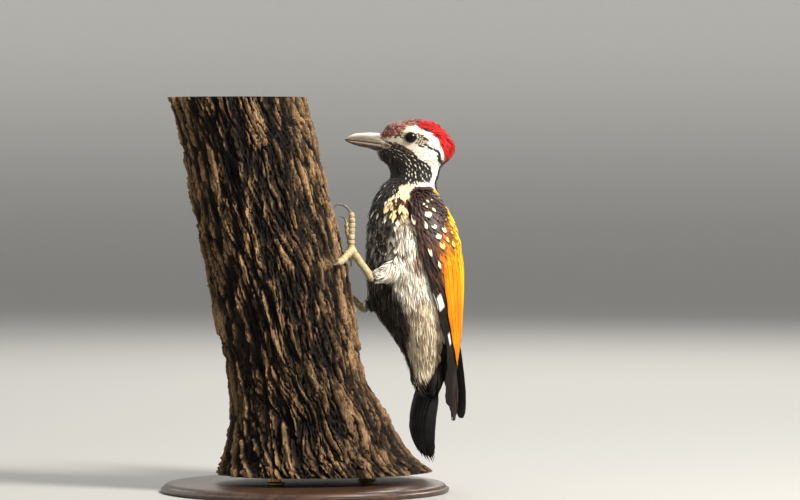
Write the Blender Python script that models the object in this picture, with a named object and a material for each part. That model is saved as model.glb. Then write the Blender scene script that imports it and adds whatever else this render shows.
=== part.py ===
"""A life-size flameback woodpecker on a cut length of trunk, held by a plain display stand.

The bird faces -X, its left side is -Y and +Z is up. The origin is at the centre of the underside of
the stand's base. Sizes in the tables are millimetres, and MM turns them into Blender's metres.

Flesh, wings and perch are stacks of level sections. A section is an ellipse about a point of the
plane y = 0, and an angle in it is 0 at the bird's back (+X), -90 at its left and 180 at its belly.
"""

import math
from collections import namedtuple

import bmesh
import bpy
import numpy as np
from mathutils import Matrix, Vector

MM = 0.001
GAP = 0.3 * MM  # what separates two solids that touch

# ---------------------------------------------------------------- driving dimensions

HEAD_TURN = 20.0  # degrees that the head is turned to the bird's right
CROWN_TOP, CROWN_LEAN = 254.3, 1.6  # height, and shift back at the top
CROWN_FLATNESS = 0.75  # 0.5 for a half ellipse
NECK_TOP, NECK_BOTTOM = 218.5, 204.0

Section = namedtuple("Section", "height centre depth width turn taper")
# height, centre along X, half depth, half width, turn in degrees, narrowing towards the front
BODY = [
    Section(65.5, 86.0, 1.5, 2.0, 0, 0.0),  # ends of the under-tail coverts
    Section(76.0, 86.4, 8.6, 9.5, 0, 0.0),
    Section(92.0, 87.0, 15.6, 15.5, 0, 0.0),  # vent
    Section(106.0, 84.6, 22.0, 21.5, 0, 0.0),  # rump
    Section(120.0, 80.4, 28.4, 26.5, 0, 0.0),
    Section(136.0, 77.5, 31.9, 29.6, 0, 0.0),  # belly
    Section(158.0, 77.5, 32.8, 31.0, 0, 0.0),
    Section(179.0, 76.9, 31.4, 30.0, 0, 0.0),  # breast
    Section(197.0, 73.9, 24.8, 25.0, 0, 0.0),  # shoulders
    Section(208.0, 74.9, 19.3, 18.0, 7, 0.05),
    Section(214.0, 79.6, 17.2, 15.0, 14, 0.10),  # neck
    Section(222.5, 79.4, 19.6, 14.8, HEAD_TURN, 0.15),  # throat
    Section(229.5, 80.7, 26.9, 14.6, HEAD_TURN, 0.25),  # cheeks
    Section(235.5, 81.3, 26.2, 13.9, HEAD_TURN, 0.25),
    Section(241.0, 79.7, 24.6, 13.0, HEAD_TURN, 0.20),  # brow
    Section(247.5, 77.6, 19.6, 10.6, HEAD_TURN, 0.10),  # forehead, under the crown's dome
]
HEAD_AXIS = 80.0  # where the head's upright axis stands along X

BillSection = namedtuple("BillSection", "along top seam bottom width")
# distance behind the tip, culmen, gape line and lower edge (above the tip), half width
BILL = [
    BillSection(0.0, 0.25, -0.10, -0.40, 0.9),
    BillSection(3.2, 2.6, -0.4, -2.2, 1.9),
    BillSection(8.5, 4.0, -1.0, -4.2, 3.0),
    BillSection(16.0, 4.4, -1.9, -5.7, 4.3),
    BillSection(23.5, 4.1, -3.0, -6.8, 5.2),
    BillSection(31.0, 3.4, -4.4, -8.2, 5.6),
]
BILL_TIP_REACH, BILL_TIP_HEIGHT = 48.4, 239.2  # ahead of the head's axis, and above the floor

EYE_RADIUS = 4.7
EYE_AHEAD, EYE_HEIGHT, EYE_SIDE = 3.0, 240.6, 9.7  # of the centre, from the head's axis

WingRow = namedtuple("WingRow", "height centre depth width low up thick")
# height, guide ellipse, angles of the lower and the upper edge, thickness
WING = [
    WingRow(46.0, 99.9, 3.4, 12.0, -54, -46, 0.7),  # tip
    WingRow(47.6, 100.0, 3.5, 13.0, -72, -30, 0.9),
    WingRow(53.0, 99.8, 3.8, 14.4, -86, -14, 1.1),
    WingRow(64.0, 99.2, 4.6, 15.6, -90, -8, 1.3),
    WingRow(80.0, 96.2, 9.0, 18.0, -89, -6, 1.8),
    WingRow(100.0, 89.4, 19.0, 21.6, -77, -6, 2.6),
    WingRow(118.0, 81.2, 28.0, 26.2, -78, -7, 3.2),
    WingRow(146.0, 77.6, 32.4, 30.4, -92, -14, 3.8),
    WingRow(167.0, 77.4, 32.4, 30.8, -102, -24, 4.0),
    WingRow(189.0, 75.1, 28.4, 27.8, -110, -34, 3.8),
    WingRow(199.0, 73.8, 24.0, 24.2, -108, -42, 3.0),
    WingRow(205.0, 74.3, 20.6, 20.2, -100, -56, 1.8),
    WingRow(207.4, 74.8, 19.5, 18.4, -88, -72, 0.9),  # top of the shoulder
]
WING_EDGE = 0.7  # thickness at its edges
# heights, and how far the inner face stands off the guide ellipse; where it reaches in, the body cuts it away
WING_SEAT = ((95.0, 115.0), (0.7, -1.5))
# how far the right wing's tip lies behind the left one's, by height
RIGHT_WING_LIFT = {46.0: 14.5, 64.0: 13.5, 80.0: 10.5, 100.0: 5.0, 118.0: 0.6, 130.0: 0.0, 208.0: 0.0}

TailRow = namedtuple("TailRow", "x z thick width")
TAIL_HOLLOW = 0.06  # how far its sides curve towards the perch, as a share of its half width
TAIL = [
    TailRow(92.0, 96.0, 6.6, 11.0),
    TailRow(93.8, 82.0, 8.2, 13.5),
    TailRow(91.2, 70.0, 7.2, 15.5),  # ends of the upper-tail coverts
    TailRow(88.2, 60.0, 3.8, 16.8),
    TailRow(86.2, 50.0, 2.5, 17.5),
    TailRow(85.2, 36.0, 1.9, 17.0),
    TailRow(86.4, 26.5, 1.4, 14.0),
    TailRow(89.0, 20.6, 0.9, 9.5),
    TailRow(91.4, 17.4, 0.5, 3.4),
]

PERCH_BOTTOM, PERCH_TOP = 12.2, 268.0
# height, centre along X, half depth, half width
PERCH = [
    (-20.0, 28.0, 96.0, 64.0),
    (12.2, 14.4, 77.5, 58.0),
    (18.0, 10.9, 71.8, 56.5),
    (30.0, 6.1, 63.8, 54.0),
    (48.0, 3.0, 57.4, 52.0),
    (63.0, -1.2, 52.6, 50.5),
    (80.0, -7.1, 49.2, 49.0),
    (98.0, -10.5, 49.0, 48.8),
    (132.0, -16.5, 50.0, 50.0),
    (166.0, -23.9, 49.8, 50.0),
    (201.0, -31.5, 48.6, 48.4),
    (234.0, -38.7, 47.2, 47.0),
    (300.0, -58.0, 48.0, 46.0),
]

BASE_RADIUS, BASE_THICK = 98.0, 6.0
ROD_RADIUS, ROD_PLACES = 4.0, {"stand_rod_front": (-26.0, -14.0), "stand_rod_back": (48.0, 10.0)}

Toe = namedtuple("Toe", "path radius claw")
# path and claw: (angle on the perch, height, lift above the bark); the first point is in the foot
LEFT_TOES = {
    "outer_rear": Toe([(-31, 165.0, 4.8), (-40, 162.5, 4.8), (-48, 158.8, 3.6), (-54, 156.4, 2.8)], 1.9,
                      [(-54, 156.4, 2.8), (-59, 155.4, 3.0), (-63, 155.0, 0.5)]),
    "middle": Toe([(-31, 165.0, 4.8), (-31, 172.0, 6.6), (-31, 182.0, 9.4), (-32, 189.6, 11.2)], 1.9,
                  [(-32, 189.6, 11.2), (-33, 194.6, 8.6), (-35, 195.6, 3.6), (-36, 192.8, 0.5)]),
    "inner": Toe([(-29, 165.0, 4.8), (-23, 170.0, 4.4), (-20, 177.0, 4.6), (-18, 182.0, 5.0)], 1.7,
                 [(-18, 182.0, 5.0), (-17, 186.4, 4.2), (-17, 187.4, 0.5)]),
    "hind": Toe([(-30, 164.0, 4.2), (-26, 160.6, 2.8), (-24, 157.2, 2.2)], 1.2,
                [(-24, 157.2, 2.2), (-23, 154.6, 1.9), (-22, 152.8, 0.5)]),
}
RIGHT_TOES = {
    "outer_rear": Toe([(26, 140.0, 4.4), (35, 139.2, 4.4), (43, 135.8, 3.2), (49, 132.6, 2.6)], 1.9,
                      [(49, 132.6, 2.6), (54, 131.2, 2.8), (58, 130.6, 0.5)]),
    "middle": Toe([(26, 140.0, 4.4), (27, 147.0, 4.4), (28, 156.0, 4.8), (28, 162.0, 5.2)], 1.9,
                  [(28, 162.0, 5.2), (28, 167.0, 4.6), (28, 168.6, 0.5)]),
    "inner": Toe([(24, 140.0, 4.4), (18, 144.6, 4.0), (15, 151.0, 4.2), (13, 156.0, 4.6)], 1.7,
                 [(13, 156.0, 4.6), (12, 160.2, 3.8), (12, 161.4, 0.5)]),
    "hind": Toe([(25, 139.0, 4.0), (21, 135.6, 2.6), (19, 132.2, 2.2)], 1.2,
                [(19, 132.2, 2.2), (18, 129.6, 1.9), (17, 127.8, 0.5)]),
}
Leg = namedtuple("Leg", "hip knee ankle foot toes")
LEGS = {
    "left": Leg(
        (71.0, -17.0, 157.5), (55.0, -23.5, 150.0), (38.9, -26.0, 145.4), (-31, 165.0, 4.8), LEFT_TOES
    ),
    "right": Leg((76.0, 17.0, 142.0), (62.0, 21.0, 130.0), (50.8, 22.5, 122.6), (26, 140.0, 4.4), RIGHT_TOES),
}
THIGH_RADII = (12.0, 9.2, 3.6)  # at the hip, the knee and the ankle
SHANK_RADII = {-0.06: 1.5, 0.04: 2.4, 0.3: 1.8, 0.8: 2.0, 1.0: 2.9, 1.08: 1.6}  # by the share of its length

RING_POINTS = 24

COLOURS = {  # base colour, roughness, metallic
    "plumage": ((0.62, 0.52, 0.40), 0.85, 0.0),
    "wing": ((0.55, 0.30, 0.03), 0.75, 0.0),
    "tail": ((0.02, 0.017, 0.015), 0.7, 0.0),
    "bill": ((0.36, 0.31, 0.27), 0.45, 0.0),
    "eye": ((0.05, 0.008, 0.005), 0.08, 0.0),
    "leg_skin": ((0.46, 0.38, 0.24), 0.6, 0.0),
    "claw": ((0.10, 0.09, 0.08), 0.4, 0.0),
    "bark": ((0.18, 0.12, 0.08), 0.95, 0.0),
    "stand_wood": ((0.05, 0.03, 0.02), 0.5, 0.0),
    "stand_metal": ((0.42, 0.33, 0.18), 0.35, 1.0),
}


# ---------------------------------------------------------------- making shapes


def curve_through(places, values):
    """A smooth function through the points that doesn't overshoot between them."""
    places, values = np.asarray(places, float), np.asarray(values, float)
    steps = np.diff(places)
    slopes = np.diff(values, axis=0) / steps[:, None]
    tangents = np.zeros_like(values)
    tangents[0], tangents[-1] = slopes[0], slopes[-1]
    before, after = slopes[:-1], slopes[1:]
    same_way = before * after > 0
    tangents[1:-1][same_way] = (2 * before * after)[same_way] / (before + after)[same_way]

    def at(place):
        i = int(np.clip(np.searchsorted(places, place) - 1, 0, len(steps) - 1))
        t = np.clip((place - places[i]) / steps[i], 0, 1)
        return (
            (1 + 2 * t) * (1 - t) ** 2 * values[i]
            + t * (1 - t) ** 2 * steps[i] * tangents[i]
            + t * t * (3 - 2 * t) * values[i + 1]
            + t * t * (t - 1) * steps[i] * tangents[i + 1]
        )

    return at


def material_named(name):
    made = bpy.data.materials.get(name)
    if made is None:
        colour, roughness, metallic = COLOURS[name]
        made = bpy.data.materials.new(name)
        made.use_nodes = True
        shader = made.node_tree.nodes["Principled BSDF"]
        shader.inputs["Base Color"].default_value = (*colour, 1.0)
        shader.inputs["Roughness"].default_value = roughness
        shader.inputs["Metallic"].default_value = metallic
    return made


def add_object(name, mesh, material, smooth_under=40.0):
    mesh.materials.append(material_named(material))
    mesh.shade_smooth()
    mesh.set_sharp_from_angle(angle=math.radians(smooth_under))
    made = bpy.data.objects.new(name, mesh)
    bpy.context.scene.collection.objects.link(made)
    return made


def loft(name, rings, material):
    """A closed solid through rings that have the same number of points, with a flat cap at each end."""
    build = bmesh.new()
    rows = [[build.verts.new(point) for point in ring] for ring in rings]
    for low, high in zip(rows, rows[1:]):
        for i in range(len(low)):
            j = (i + 1) % len(low)
            build.faces.new((low[i], low[j], high[j], high[i]))
    build.faces.new(rows[0][::-1])
    build.faces.new(rows[-1])
    bmesh.ops.recalc_face_normals(build, faces=build.faces)
    mesh = bpy.data.meshes.new(name)
    build.to_mesh(mesh)
    build.free()
    return add_object(name, mesh, material)


def tube(name, points, radii, material, sides=8, steps=12, grow=0.0):
    """A round bar on a smooth line through the points, with a radius for each point; all in metres."""
    places = np.linspace(0, 1, len(points))
    line = curve_through(places, [tuple(p) for p in points])
    radius = curve_through(places, [[r] for r in radii])
    samples = np.linspace(0, 1, steps)
    centres = [Vector(line(s)) for s in samples]
    side = None
    rings = []
    for i, s in enumerate(samples):
        ahead = (centres[min(i + 1, steps - 1)] - centres[max(i - 1, 0)]).normalized()
        if side is None:
            side = ahead.orthogonal().normalized()
        side = (side - ahead * side.dot(ahead)).normalized()
        up = ahead.cross(side)
        r = float(radius(s)[0]) + grow
        turns = [2 * math.pi * k / sides for k in range(sides)]
        rings.append([centres[i] + r * (math.cos(a) * side + math.sin(a) * up) for a in turns])
    if grow:  # a cutter also reaches past both ends
        for ring, centre, beyond in ((0, centres[0], centres[1]), (-1, centres[-1], centres[-2])):
            shift = (centre - beyond).normalized() * grow
            rings[ring] = [point + shift for point in rings[ring]]
    return loft(name, rings, material)


def ball(name, centre, radius, material):
    build = bmesh.new()
    bmesh.ops.create_uvsphere(
        build, u_segments=16, v_segments=10, radius=radius, matrix=Matrix.Translation(centre)
    )
    mesh = bpy.data.meshes.new(name)
    build.to_mesh(mesh)
    build.free()
    return add_object(name, mesh, material, smooth_under=60.0)


def carve(target, cutters):
    """Cuts the cutters' shapes out of the target and keeps them as hidden helpers."""
    for cutter in cutters:
        cutter.hide_render = True
        cutter.display_type = "WIRE"
        cut = target.modifiers.new("cut " + cutter.name, "BOOLEAN")
        cut.operation = "DIFFERENCE"
        cut.object = cutter


# ---------------------------------------------------------------- flesh

body_at = curve_through([s.height for s in BODY], [s[1:] for s in BODY])


def body_section(height):
    """Centre, half depth, half width, turn and taper; above the last section the crown is a dome."""
    centre, depth, width, turn, taper = body_at(height)
    forehead = BODY[-1].height
    if height > forehead:
        share = (height - forehead) / (CROWN_TOP - forehead)
        round_off = max(1 - share * share, 0.0) ** CROWN_FLATNESS
        depth, width = depth * round_off, width * round_off
        centre += CROWN_LEAN * share
    return centre, depth, width, turn, taper


def body_point(height, angle, out=0.0):
    """A point of the flesh, or a distance outside it, in millimetres. The angle is in degrees."""
    centre, depth, width, turn, taper = body_section(height)
    a, t = math.radians(angle), -math.radians(turn)
    x = (depth + out) * math.cos(a)
    y = (width + out) * math.sin(a) * (1 + taper * math.cos(a))
    return Vector((centre + x * math.cos(t) - y * math.sin(t), x * math.sin(t) + y * math.cos(t), height))


def body_ring(height, out=0.0):
    angles = [360.0 * i / RING_POINTS for i in range(RING_POINTS)]
    return [body_point(height, angle, out) * MM for angle in angles]


def spaced(low, high, step):
    return list(np.linspace(low, high, max(2, round((high - low) / step) + 1)))


def flesh(name, heights, out=0.0):
    return loft(name, [body_ring(height, out) for height in heights], "plumage")


def trunk_heights():
    return spaced(BODY[0].height, 76.0, 3.5) + spaced(84.0, NECK_BOTTOM, 7.5)


def neck_heights():
    return spaced(NECK_BOTTOM + 0.3, NECK_TOP - 0.3, 4.6)


def head_heights():
    dome = [BODY[-1].height + (CROWN_TOP - BODY[-1].height) * s for s in (0.3, 0.55, 0.75, 0.9, 0.985)]
    return spaced(NECK_TOP, BODY[-1].height, 4.2) + dome


def head_point(ahead, side, height):
    """A point given from the head's upright axis: ahead of it, to the bird's left and above the floor."""
    turn = math.radians(HEAD_TURN)
    forward = Vector((-math.cos(turn), math.sin(turn), 0))
    left = Vector((-math.sin(turn), -math.cos(turn), 0))
    axis = Vector((HEAD_AXIS, 0, height))
    return (axis + forward * ahead + left * side) * MM


def make_flesh():
    flesh("trunk", trunk_heights())
    flesh("neck", neck_heights())
    head = flesh("head", head_heights())
    sockets = []
    for side, sign in (("left", 1), ("right", -1)):
        centre = head_point(EYE_AHEAD, sign * EYE_SIDE, EYE_HEIGHT)
        ball("eye_" + side, centre, EYE_RADIUS * MM, "eye")
        sockets.append(ball("socket_" + side, centre, EYE_RADIUS * MM + GAP, "eye"))
    carve(head, sockets)


# ---------------------------------------------------------------- bill


def bill_ring(section, upper):
    """Half of the bill's cross-section: an arch over a flat gape line, or the same turned down."""
    sweep = [math.pi * i / 10 for i in range(11)]
    points = []
    for a in sweep:
        side = section.width * math.cos(a)
        if upper:
            up = section.seam + (section.top - section.seam) * math.sin(a) ** 0.8
        else:
            up = section.seam - 0.3 + (section.bottom - section.seam + 0.3) * math.sin(a) ** 0.7
        points.append(head_point(BILL_TIP_REACH - section.along, side, BILL_TIP_HEIGHT + up))
    return points


def make_bill():
    profile = curve_through([s.along for s in BILL], [s[1:] for s in BILL])
    places = [0, 1.2, 3.2, 6, 9.5, 14, 19, 24, 29, 31]
    sections = [BillSection(along, *profile(along)) for along in places]
    for name, upper in (("bill_upper", True), ("bill_lower", False)):
        half = loft(name, [bill_ring(section, upper) for section in sections], "bill")
        carve(half, [flesh("face_for_" + name, head_heights(), out=0.35)])


# ---------------------------------------------------------------- wings and tail

wing_at = curve_through([row.height for row in WING], [row[1:] for row in WING])
lift_at = curve_through(list(RIGHT_WING_LIFT), [[lift] for lift in RIGHT_WING_LIFT.values()])


def wing_ring(height, side, columns=8):
    """One level section of a folded wing: outer face from its lower to its upper edge, then back inside."""
    centre, depth, width, low, up, thick = wing_at(height)
    lift = float(lift_at(height)[0]) if side > 0 else 0.0
    outer, inner = [], []
    seat = float(np.interp(height, *WING_SEAT))
    for i in range(columns):
        share = i / (columns - 1)
        a = math.radians(low + (up - low) * share)
        edge = min(WING_EDGE, thick)
        proud = WING_EDGE + edge + (thick - edge) * math.sin(math.pi * share) ** 0.6
        for out, points in ((proud, outer), (seat, inner)):
            x = centre + lift + (depth + out) * math.cos(a)
            y = -side * (width + out) * math.sin(a)
            points.append(Vector((x, y, height)) * MM)
    return outer + inner[::-1]


def make_wings():
    heights = [46.0, 47.6, 50.0] + spaced(56.0, 199.0, 10.0) + [202.5, 205.0, 206.6, 207.4]
    for name, side in (("wing_left", -1), ("wing_right", 1)):
        wing = loft(name, [wing_ring(height, side) for height in heights], "wing")
        carve(wing, [flesh("body_for_" + name, trunk_heights() + neck_heights(), out=0.35)])


def tail_ring(x, z, thick, width, ahead):
    """A flat oval across the tail, a little hollow on the side that faces the perch."""
    across = Vector((ahead.z, 0, -ahead.x))
    points = []
    for i in range(16):
        a = 2 * math.pi * i / 16
        side = width * math.cos(a)
        hollow = -TAIL_HOLLOW * side * side / max(width, 1.0)
        points.append((Vector((x, side, z)) + across * (thick * math.sin(a) + hollow)) * MM)
    return points


def make_tail():
    row_at = curve_through(range(len(TAIL)), TAIL)
    samples = np.linspace(0, len(TAIL) - 1, 13)
    rings = []
    for s in samples:
        before, after = row_at(max(s - 0.2, 0)), row_at(min(s + 0.2, len(TAIL) - 1))
        ahead = Vector((before[0] - after[0], 0, before[1] - after[1])).normalized()
        rings.append(tail_ring(*row_at(s), ahead))
    tail = loft("tail", rings, "tail")
    carve(tail, [flesh("rump_for_tail", trunk_heights(), out=0.35)])


# ---------------------------------------------------------------- perch and legs

perch_at = curve_through([row[0] for row in PERCH], [row[1:] for row in PERCH])


def perch_point(angle, height, lift=0.0):
    """A point on the perch's bark, or a distance off it. The bark has a few shallow flutes."""
    centre, depth, width = perch_at(height)
    a = math.radians(angle)
    flute = 0.9 * math.cos(5 * a + 0.02 * height) * min(1.0, abs(math.sin(a / 2)) ** 2 * 2.0)
    x = centre + (depth + lift + flute) * math.cos(a)
    return Vector((x, (width + lift + flute) * math.sin(a), height)) * MM


def make_perch():
    """The bark's outer surface, sawn level at both ends."""
    angles = [360.0 * i / 32 for i in range(32)]
    heights = [PERCH_BOTTOM, 18, 24, 31, 40, 50, 62, 76, 92, 112, 134, 158, 184, 212, 240, PERCH_TOP]
    loft("perch", [[perch_point(a, h) for a in angles] for h in heights], "bark")


def thigh(name, leg, grow=0.0):
    points = [Vector(p) * MM for p in (leg.hip, leg.knee, leg.ankle)]
    return tube(name, points, [r * MM for r in THIGH_RADII], "plumage", sides=14, steps=9, grow=grow)


def foot(name, leg, grow=0.0):
    """The bare shank, from the ankle joint in the thigh's end to the ball of the foot, as one piece."""
    ankle, ball_centre = Vector(leg.ankle) * MM, perch_point(*leg.foot)
    points = [ankle.lerp(ball_centre, share) for share in SHANK_RADII]
    radii = [r * MM for r in SHANK_RADII.values()]
    return tube(name, points, radii, "leg_skin", sides=8, steps=12, grow=grow)


def toe_tube(name, toe, grow=0.0):
    """A toe swells at each of its joints and narrows between them."""
    points = [perch_point(*p) for p in toe.path]
    knuckles = [points[0]]
    radii = [toe.radius * 0.9]
    for start, end in zip(points, points[1:]):
        knuckles += [start.lerp(end, 0.5), end]
        radii += [toe.radius * 0.82, toe.radius * 0.98]
    radii[-1] = toe.radius * 0.72
    return tube(name, knuckles, [r * MM for r in radii], "leg_skin", sides=7, steps=9, grow=grow)


def claw_tube(name, toe):
    points = [perch_point(*p) for p in toe.claw]
    radii = np.linspace(1, 0, len(points)) ** 0.8 * (toe.radius * 0.62 - 0.16) + 0.16
    return tube(name, points, [r * MM for r in radii], "claw", sides=6, steps=7)


def make_leg(side, leg):
    upper = thigh("thigh_" + side, leg)
    carve(upper, [flesh("flank_for_" + side, trunk_heights(), out=0.35)])
    lower = foot("foot_" + side, leg)
    carve(lower, [thigh("sleeve_" + side, leg, grow=GAP)])
    earlier = [("foot", foot, leg)]
    for toe_name, toe in leg.toes.items():
        full = f"toe_{toe_name}_{side}"
        shape = toe_tube(full, toe)
        carve(shape, [make(f"room_{i}_{full}", what, grow=GAP) for i, (_, make, what) in enumerate(earlier)])
        claw = claw_tube(f"claw_{toe_name}_{side}", toe)
        carve(claw, [toe_tube(f"tip_{full}", toe, grow=GAP)])
        earlier.append((toe_name, toe_tube, toe))


# ---------------------------------------------------------------- stand


def disc(name, centre, radius, bottom, top, material, sides, bevel):
    """An upright round plate or rod with an eased upper edge."""
    turns = [2 * math.pi * i / sides for i in range(sides)]
    rings = []
    for r, z in ((radius, bottom), (radius, top - bevel), (radius - bevel, top)):
        ring = [(centre[0] + r * math.cos(a), centre[1] + r * math.sin(a), z) for a in turns]
        rings.append([Vector(point) * MM for point in ring])
    return loft(name, rings, material)


def make_stand():
    disc("stand_base", (0, 0), BASE_RADIUS, 0, BASE_THICK, "stand_wood", sides=48, bevel=1.4)
    for name, place in ROD_PLACES.items():
        low, high = BASE_THICK + 0.3, PERCH_BOTTOM - 0.3
        disc(name, place, ROD_RADIUS, low, high, "stand_metal", sides=20, bevel=0.2)


def main():
    for old in list(bpy.data.objects):
        bpy.data.objects.remove(old)
    make_flesh()
    make_bill()
    make_wings()
    make_tail()
    make_perch()
    for side, leg in LEGS.items():
        make_leg(side, leg)
    make_stand()


main()
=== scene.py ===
"""A life-size flameback woodpecker clinging to a cut length of trunk, dressed over its fixed frame.

Each operator makes one piece, or one group of like pieces: the stage, the perch and its bark, the stand,
the skin, the eyes, the bill, the plumage, the wings, the tail and the feet. Tables and helpers work in
millimetres, colours in the tables are 0 to 255, and MM turns millimetres into Blender's metres.
"""

import math
from contextlib import contextmanager

import bmesh
import bpy
import numpy as np
from bpy.props import FloatProperty, FloatVectorProperty, PointerProperty
from bpy.types import Operator, Panel, PropertyGroup
from mathutils import Matrix, Vector
from mathutils.bvhtree import BVHTree
from mathutils.kdtree import KDTree


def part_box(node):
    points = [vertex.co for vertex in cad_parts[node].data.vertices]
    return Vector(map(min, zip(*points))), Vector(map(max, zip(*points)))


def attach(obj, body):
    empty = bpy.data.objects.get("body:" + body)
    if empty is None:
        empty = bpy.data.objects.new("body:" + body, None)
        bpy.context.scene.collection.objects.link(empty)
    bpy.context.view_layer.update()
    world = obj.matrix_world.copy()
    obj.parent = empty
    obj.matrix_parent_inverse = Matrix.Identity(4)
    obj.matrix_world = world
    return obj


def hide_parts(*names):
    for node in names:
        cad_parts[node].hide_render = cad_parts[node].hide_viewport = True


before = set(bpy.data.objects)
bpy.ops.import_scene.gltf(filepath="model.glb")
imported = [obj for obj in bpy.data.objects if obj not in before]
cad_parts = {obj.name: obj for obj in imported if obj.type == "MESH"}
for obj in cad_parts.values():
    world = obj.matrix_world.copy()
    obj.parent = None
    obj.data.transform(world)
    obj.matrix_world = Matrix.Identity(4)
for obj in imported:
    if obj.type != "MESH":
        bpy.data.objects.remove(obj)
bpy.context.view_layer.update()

bl_info = {
    "name": "Flameback Woodpecker Model",
    "version": (1, 0, 0),
    "blender": (4, 5, 0),
    "location": "3D View > Sidebar > Woodpecker",
    "description": "Skin, plumage, bark, horn and stand for a still woodpecker on a trunk",
    "category": "Object",
}

MM = 0.001
UP = np.array((0.0, 0.0, 1.0))
SIDES = ("left", "right")


def box(node):
    """Lowest and highest corner of a frame node, in millimetres."""
    return [np.array(corner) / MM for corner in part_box(node)]


def middle(node):
    low, high = box(node)
    return (low + high) / 2


# ---------------------------------------------------------------- measures taken from the frame

EYE_LEFT, EYE_RIGHT = middle("eye_left"), middle("eye_right")
EYE_RADIUS = float(box("eye_left")[1][2] - box("eye_left")[0][2]) / 2
HEAD_LEFT = (EYE_LEFT - EYE_RIGHT) / np.linalg.norm(EYE_LEFT - EYE_RIGHT)
HEAD_AHEAD = np.cross(HEAD_LEFT, UP)
HEAD_MIDDLE = (EYE_LEFT + EYE_RIGHT) / 2
PERCH_LOW, PERCH_HIGH = (float(corner[2]) for corner in box("perch"))
BASE_TOP = float(box("stand_base")[1][2])


# ---------------------------------------------------------------- numbers


def draws(seed):
    return np.random.default_rng(seed)


def unit(vectors):
    return vectors / np.maximum(np.linalg.norm(vectors, axis=-1, keepdims=True), 1e-9)


def ease(values, low, high):
    """0 at low, 1 at high, smooth between them."""
    share = np.clip((np.asarray(values, float) - low) / (high - low), 0, 1)
    return share * share * (3 - 2 * share)


def blend(first, second, share):
    share = np.asarray(share, float)
    return first * (1 - share[..., None]) + second * share[..., None]


def nearest(tree, points):
    """The closest places on a surface, and its normals there."""
    spots, normals = np.empty_like(points), np.empty_like(points)
    for number, point in enumerate(points * MM):
        spots[number], normals[number] = tree.find_nearest(Vector(point))[:2]
    return spots / MM, normals


def point_tree(points):
    tree = KDTree(len(points))
    for number, point in enumerate(points):
        tree.insert(point, number)
    tree.balance()
    return tree


def thinned(points, order, gap_at):
    """Marks points, taken in the given order, that lie at least their own gap from any marked one."""
    tree = point_tree(points)
    free = np.ones(len(points), bool)
    picked = np.zeros(len(points), bool)
    for number in order:
        if free[number]:
            picked[number] = True
            for _, other, _ in tree.find_range(points[number], gap_at[number]):
                free[other] = False
    return picked


def from_eyes(points):
    """The distance to the nearer eye's middle."""
    return np.minimum(*(np.linalg.norm(points - eye, axis=1) for eye in (EYE_LEFT, EYE_RIGHT)))


def cloud(points, size, seed=0):
    """Smooth seeded noise from -1 to 1, with lumps of the given size."""
    place = np.asarray(points, float) / size
    cell = np.floor(place).astype(np.int64)
    part = place - cell
    part = part * part * (3 - 2 * part)
    total = np.zeros(len(place))
    for corner in range(8):
        step = np.array((corner & 1, corner >> 1 & 1, corner >> 2 & 1))
        key = (cell + step) * np.array((73856093, 19349663, 83492791))
        mixed = key[:, 0] ^ key[:, 1] ^ key[:, 2] ^ (seed * 2654435761)
        mixed = (mixed ^ (mixed >> 13)) * 1274126177 & 0xFFFFFFFF
        mixed = (mixed ^ (mixed >> 16)) & 0xFFFF
        weight = np.prod(np.where(step, part, 1 - part), axis=1)
        total += weight * (mixed / 32767.5 - 1)
    return total


def layered_cloud(points, size, seed):
    """Three sizes of the noise together, each half as large and half as strong as the last."""
    return sum(cloud(points, size / 2**octave, seed + octave) / 2**octave for octave in range(3)) / 1.75


def drawn_out(points, share):
    """The points squeezed along the height, so that noise read there comes out long."""
    return points * np.array((1, 1, share))


def swirl(points, size, seed, axes=3):
    """Noise along each axis."""
    return np.stack([cloud(points, size, seed + axis) for axis in range(axes)], axis=1)


def ridge_at(values, half_width):
    """1 where the values are 0, smoothly down to 0 at the half width to either side."""
    return ease(-np.abs(values), -half_width, 0.0)


def linear(colour):
    """Screen colours, 0 to 255, as Blender's linear ones."""
    share = np.asarray(colour, float) / 255
    return np.where(share <= 0.04045, share / 12.92, ((share + 0.055) / 1.055) ** 2.4)


def chosen(colour):
    """A colour that the user picked in the panel, as 0 to 255."""
    return np.array(colour[:3]) * 255


def dye(colour):
    return linear(chosen(colour))


def inside(places, outline):
    """Which 2-D places lie in a closed outline."""
    x, y = places[:, 0], places[:, 1]
    within = np.zeros(len(places), bool)
    corners = np.asarray(outline, float)
    for (x1, y1), (x2, y2) in zip(corners, np.roll(corners, -1, axis=0)):
        crosses = (y1 > y) != (y2 > y)
        reach = (x2 - x1) * (y - y1) / (y2 - y1 if y2 != y1 else 1e-9) + x1
        within ^= crosses & (x < reach)
    return within


def distance_to(places, line):
    """How far 2-D places lie from a broken line."""
    nearest = np.full(len(places), 1e9)
    line = np.asarray(line, float)
    for start, end in zip(line, line[1:]):
        along = end - start
        share = np.clip(((places - start) @ along) / (along @ along), 0, 1)
        nearest = np.minimum(nearest, np.linalg.norm(places - start - share[:, None] * along, axis=1))
    return nearest


# ---------------------------------------------------------------- meshes


def placed(name, data):
    made = bpy.data.objects.new(name, data)
    bpy.context.scene.collection.objects.link(made)
    return made


@contextmanager
def editing(mesh):
    """Opens a mesh for editing and stores it again."""
    build = bmesh.new()
    build.from_mesh(mesh)
    yield build
    build.to_mesh(mesh)
    build.free()


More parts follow.
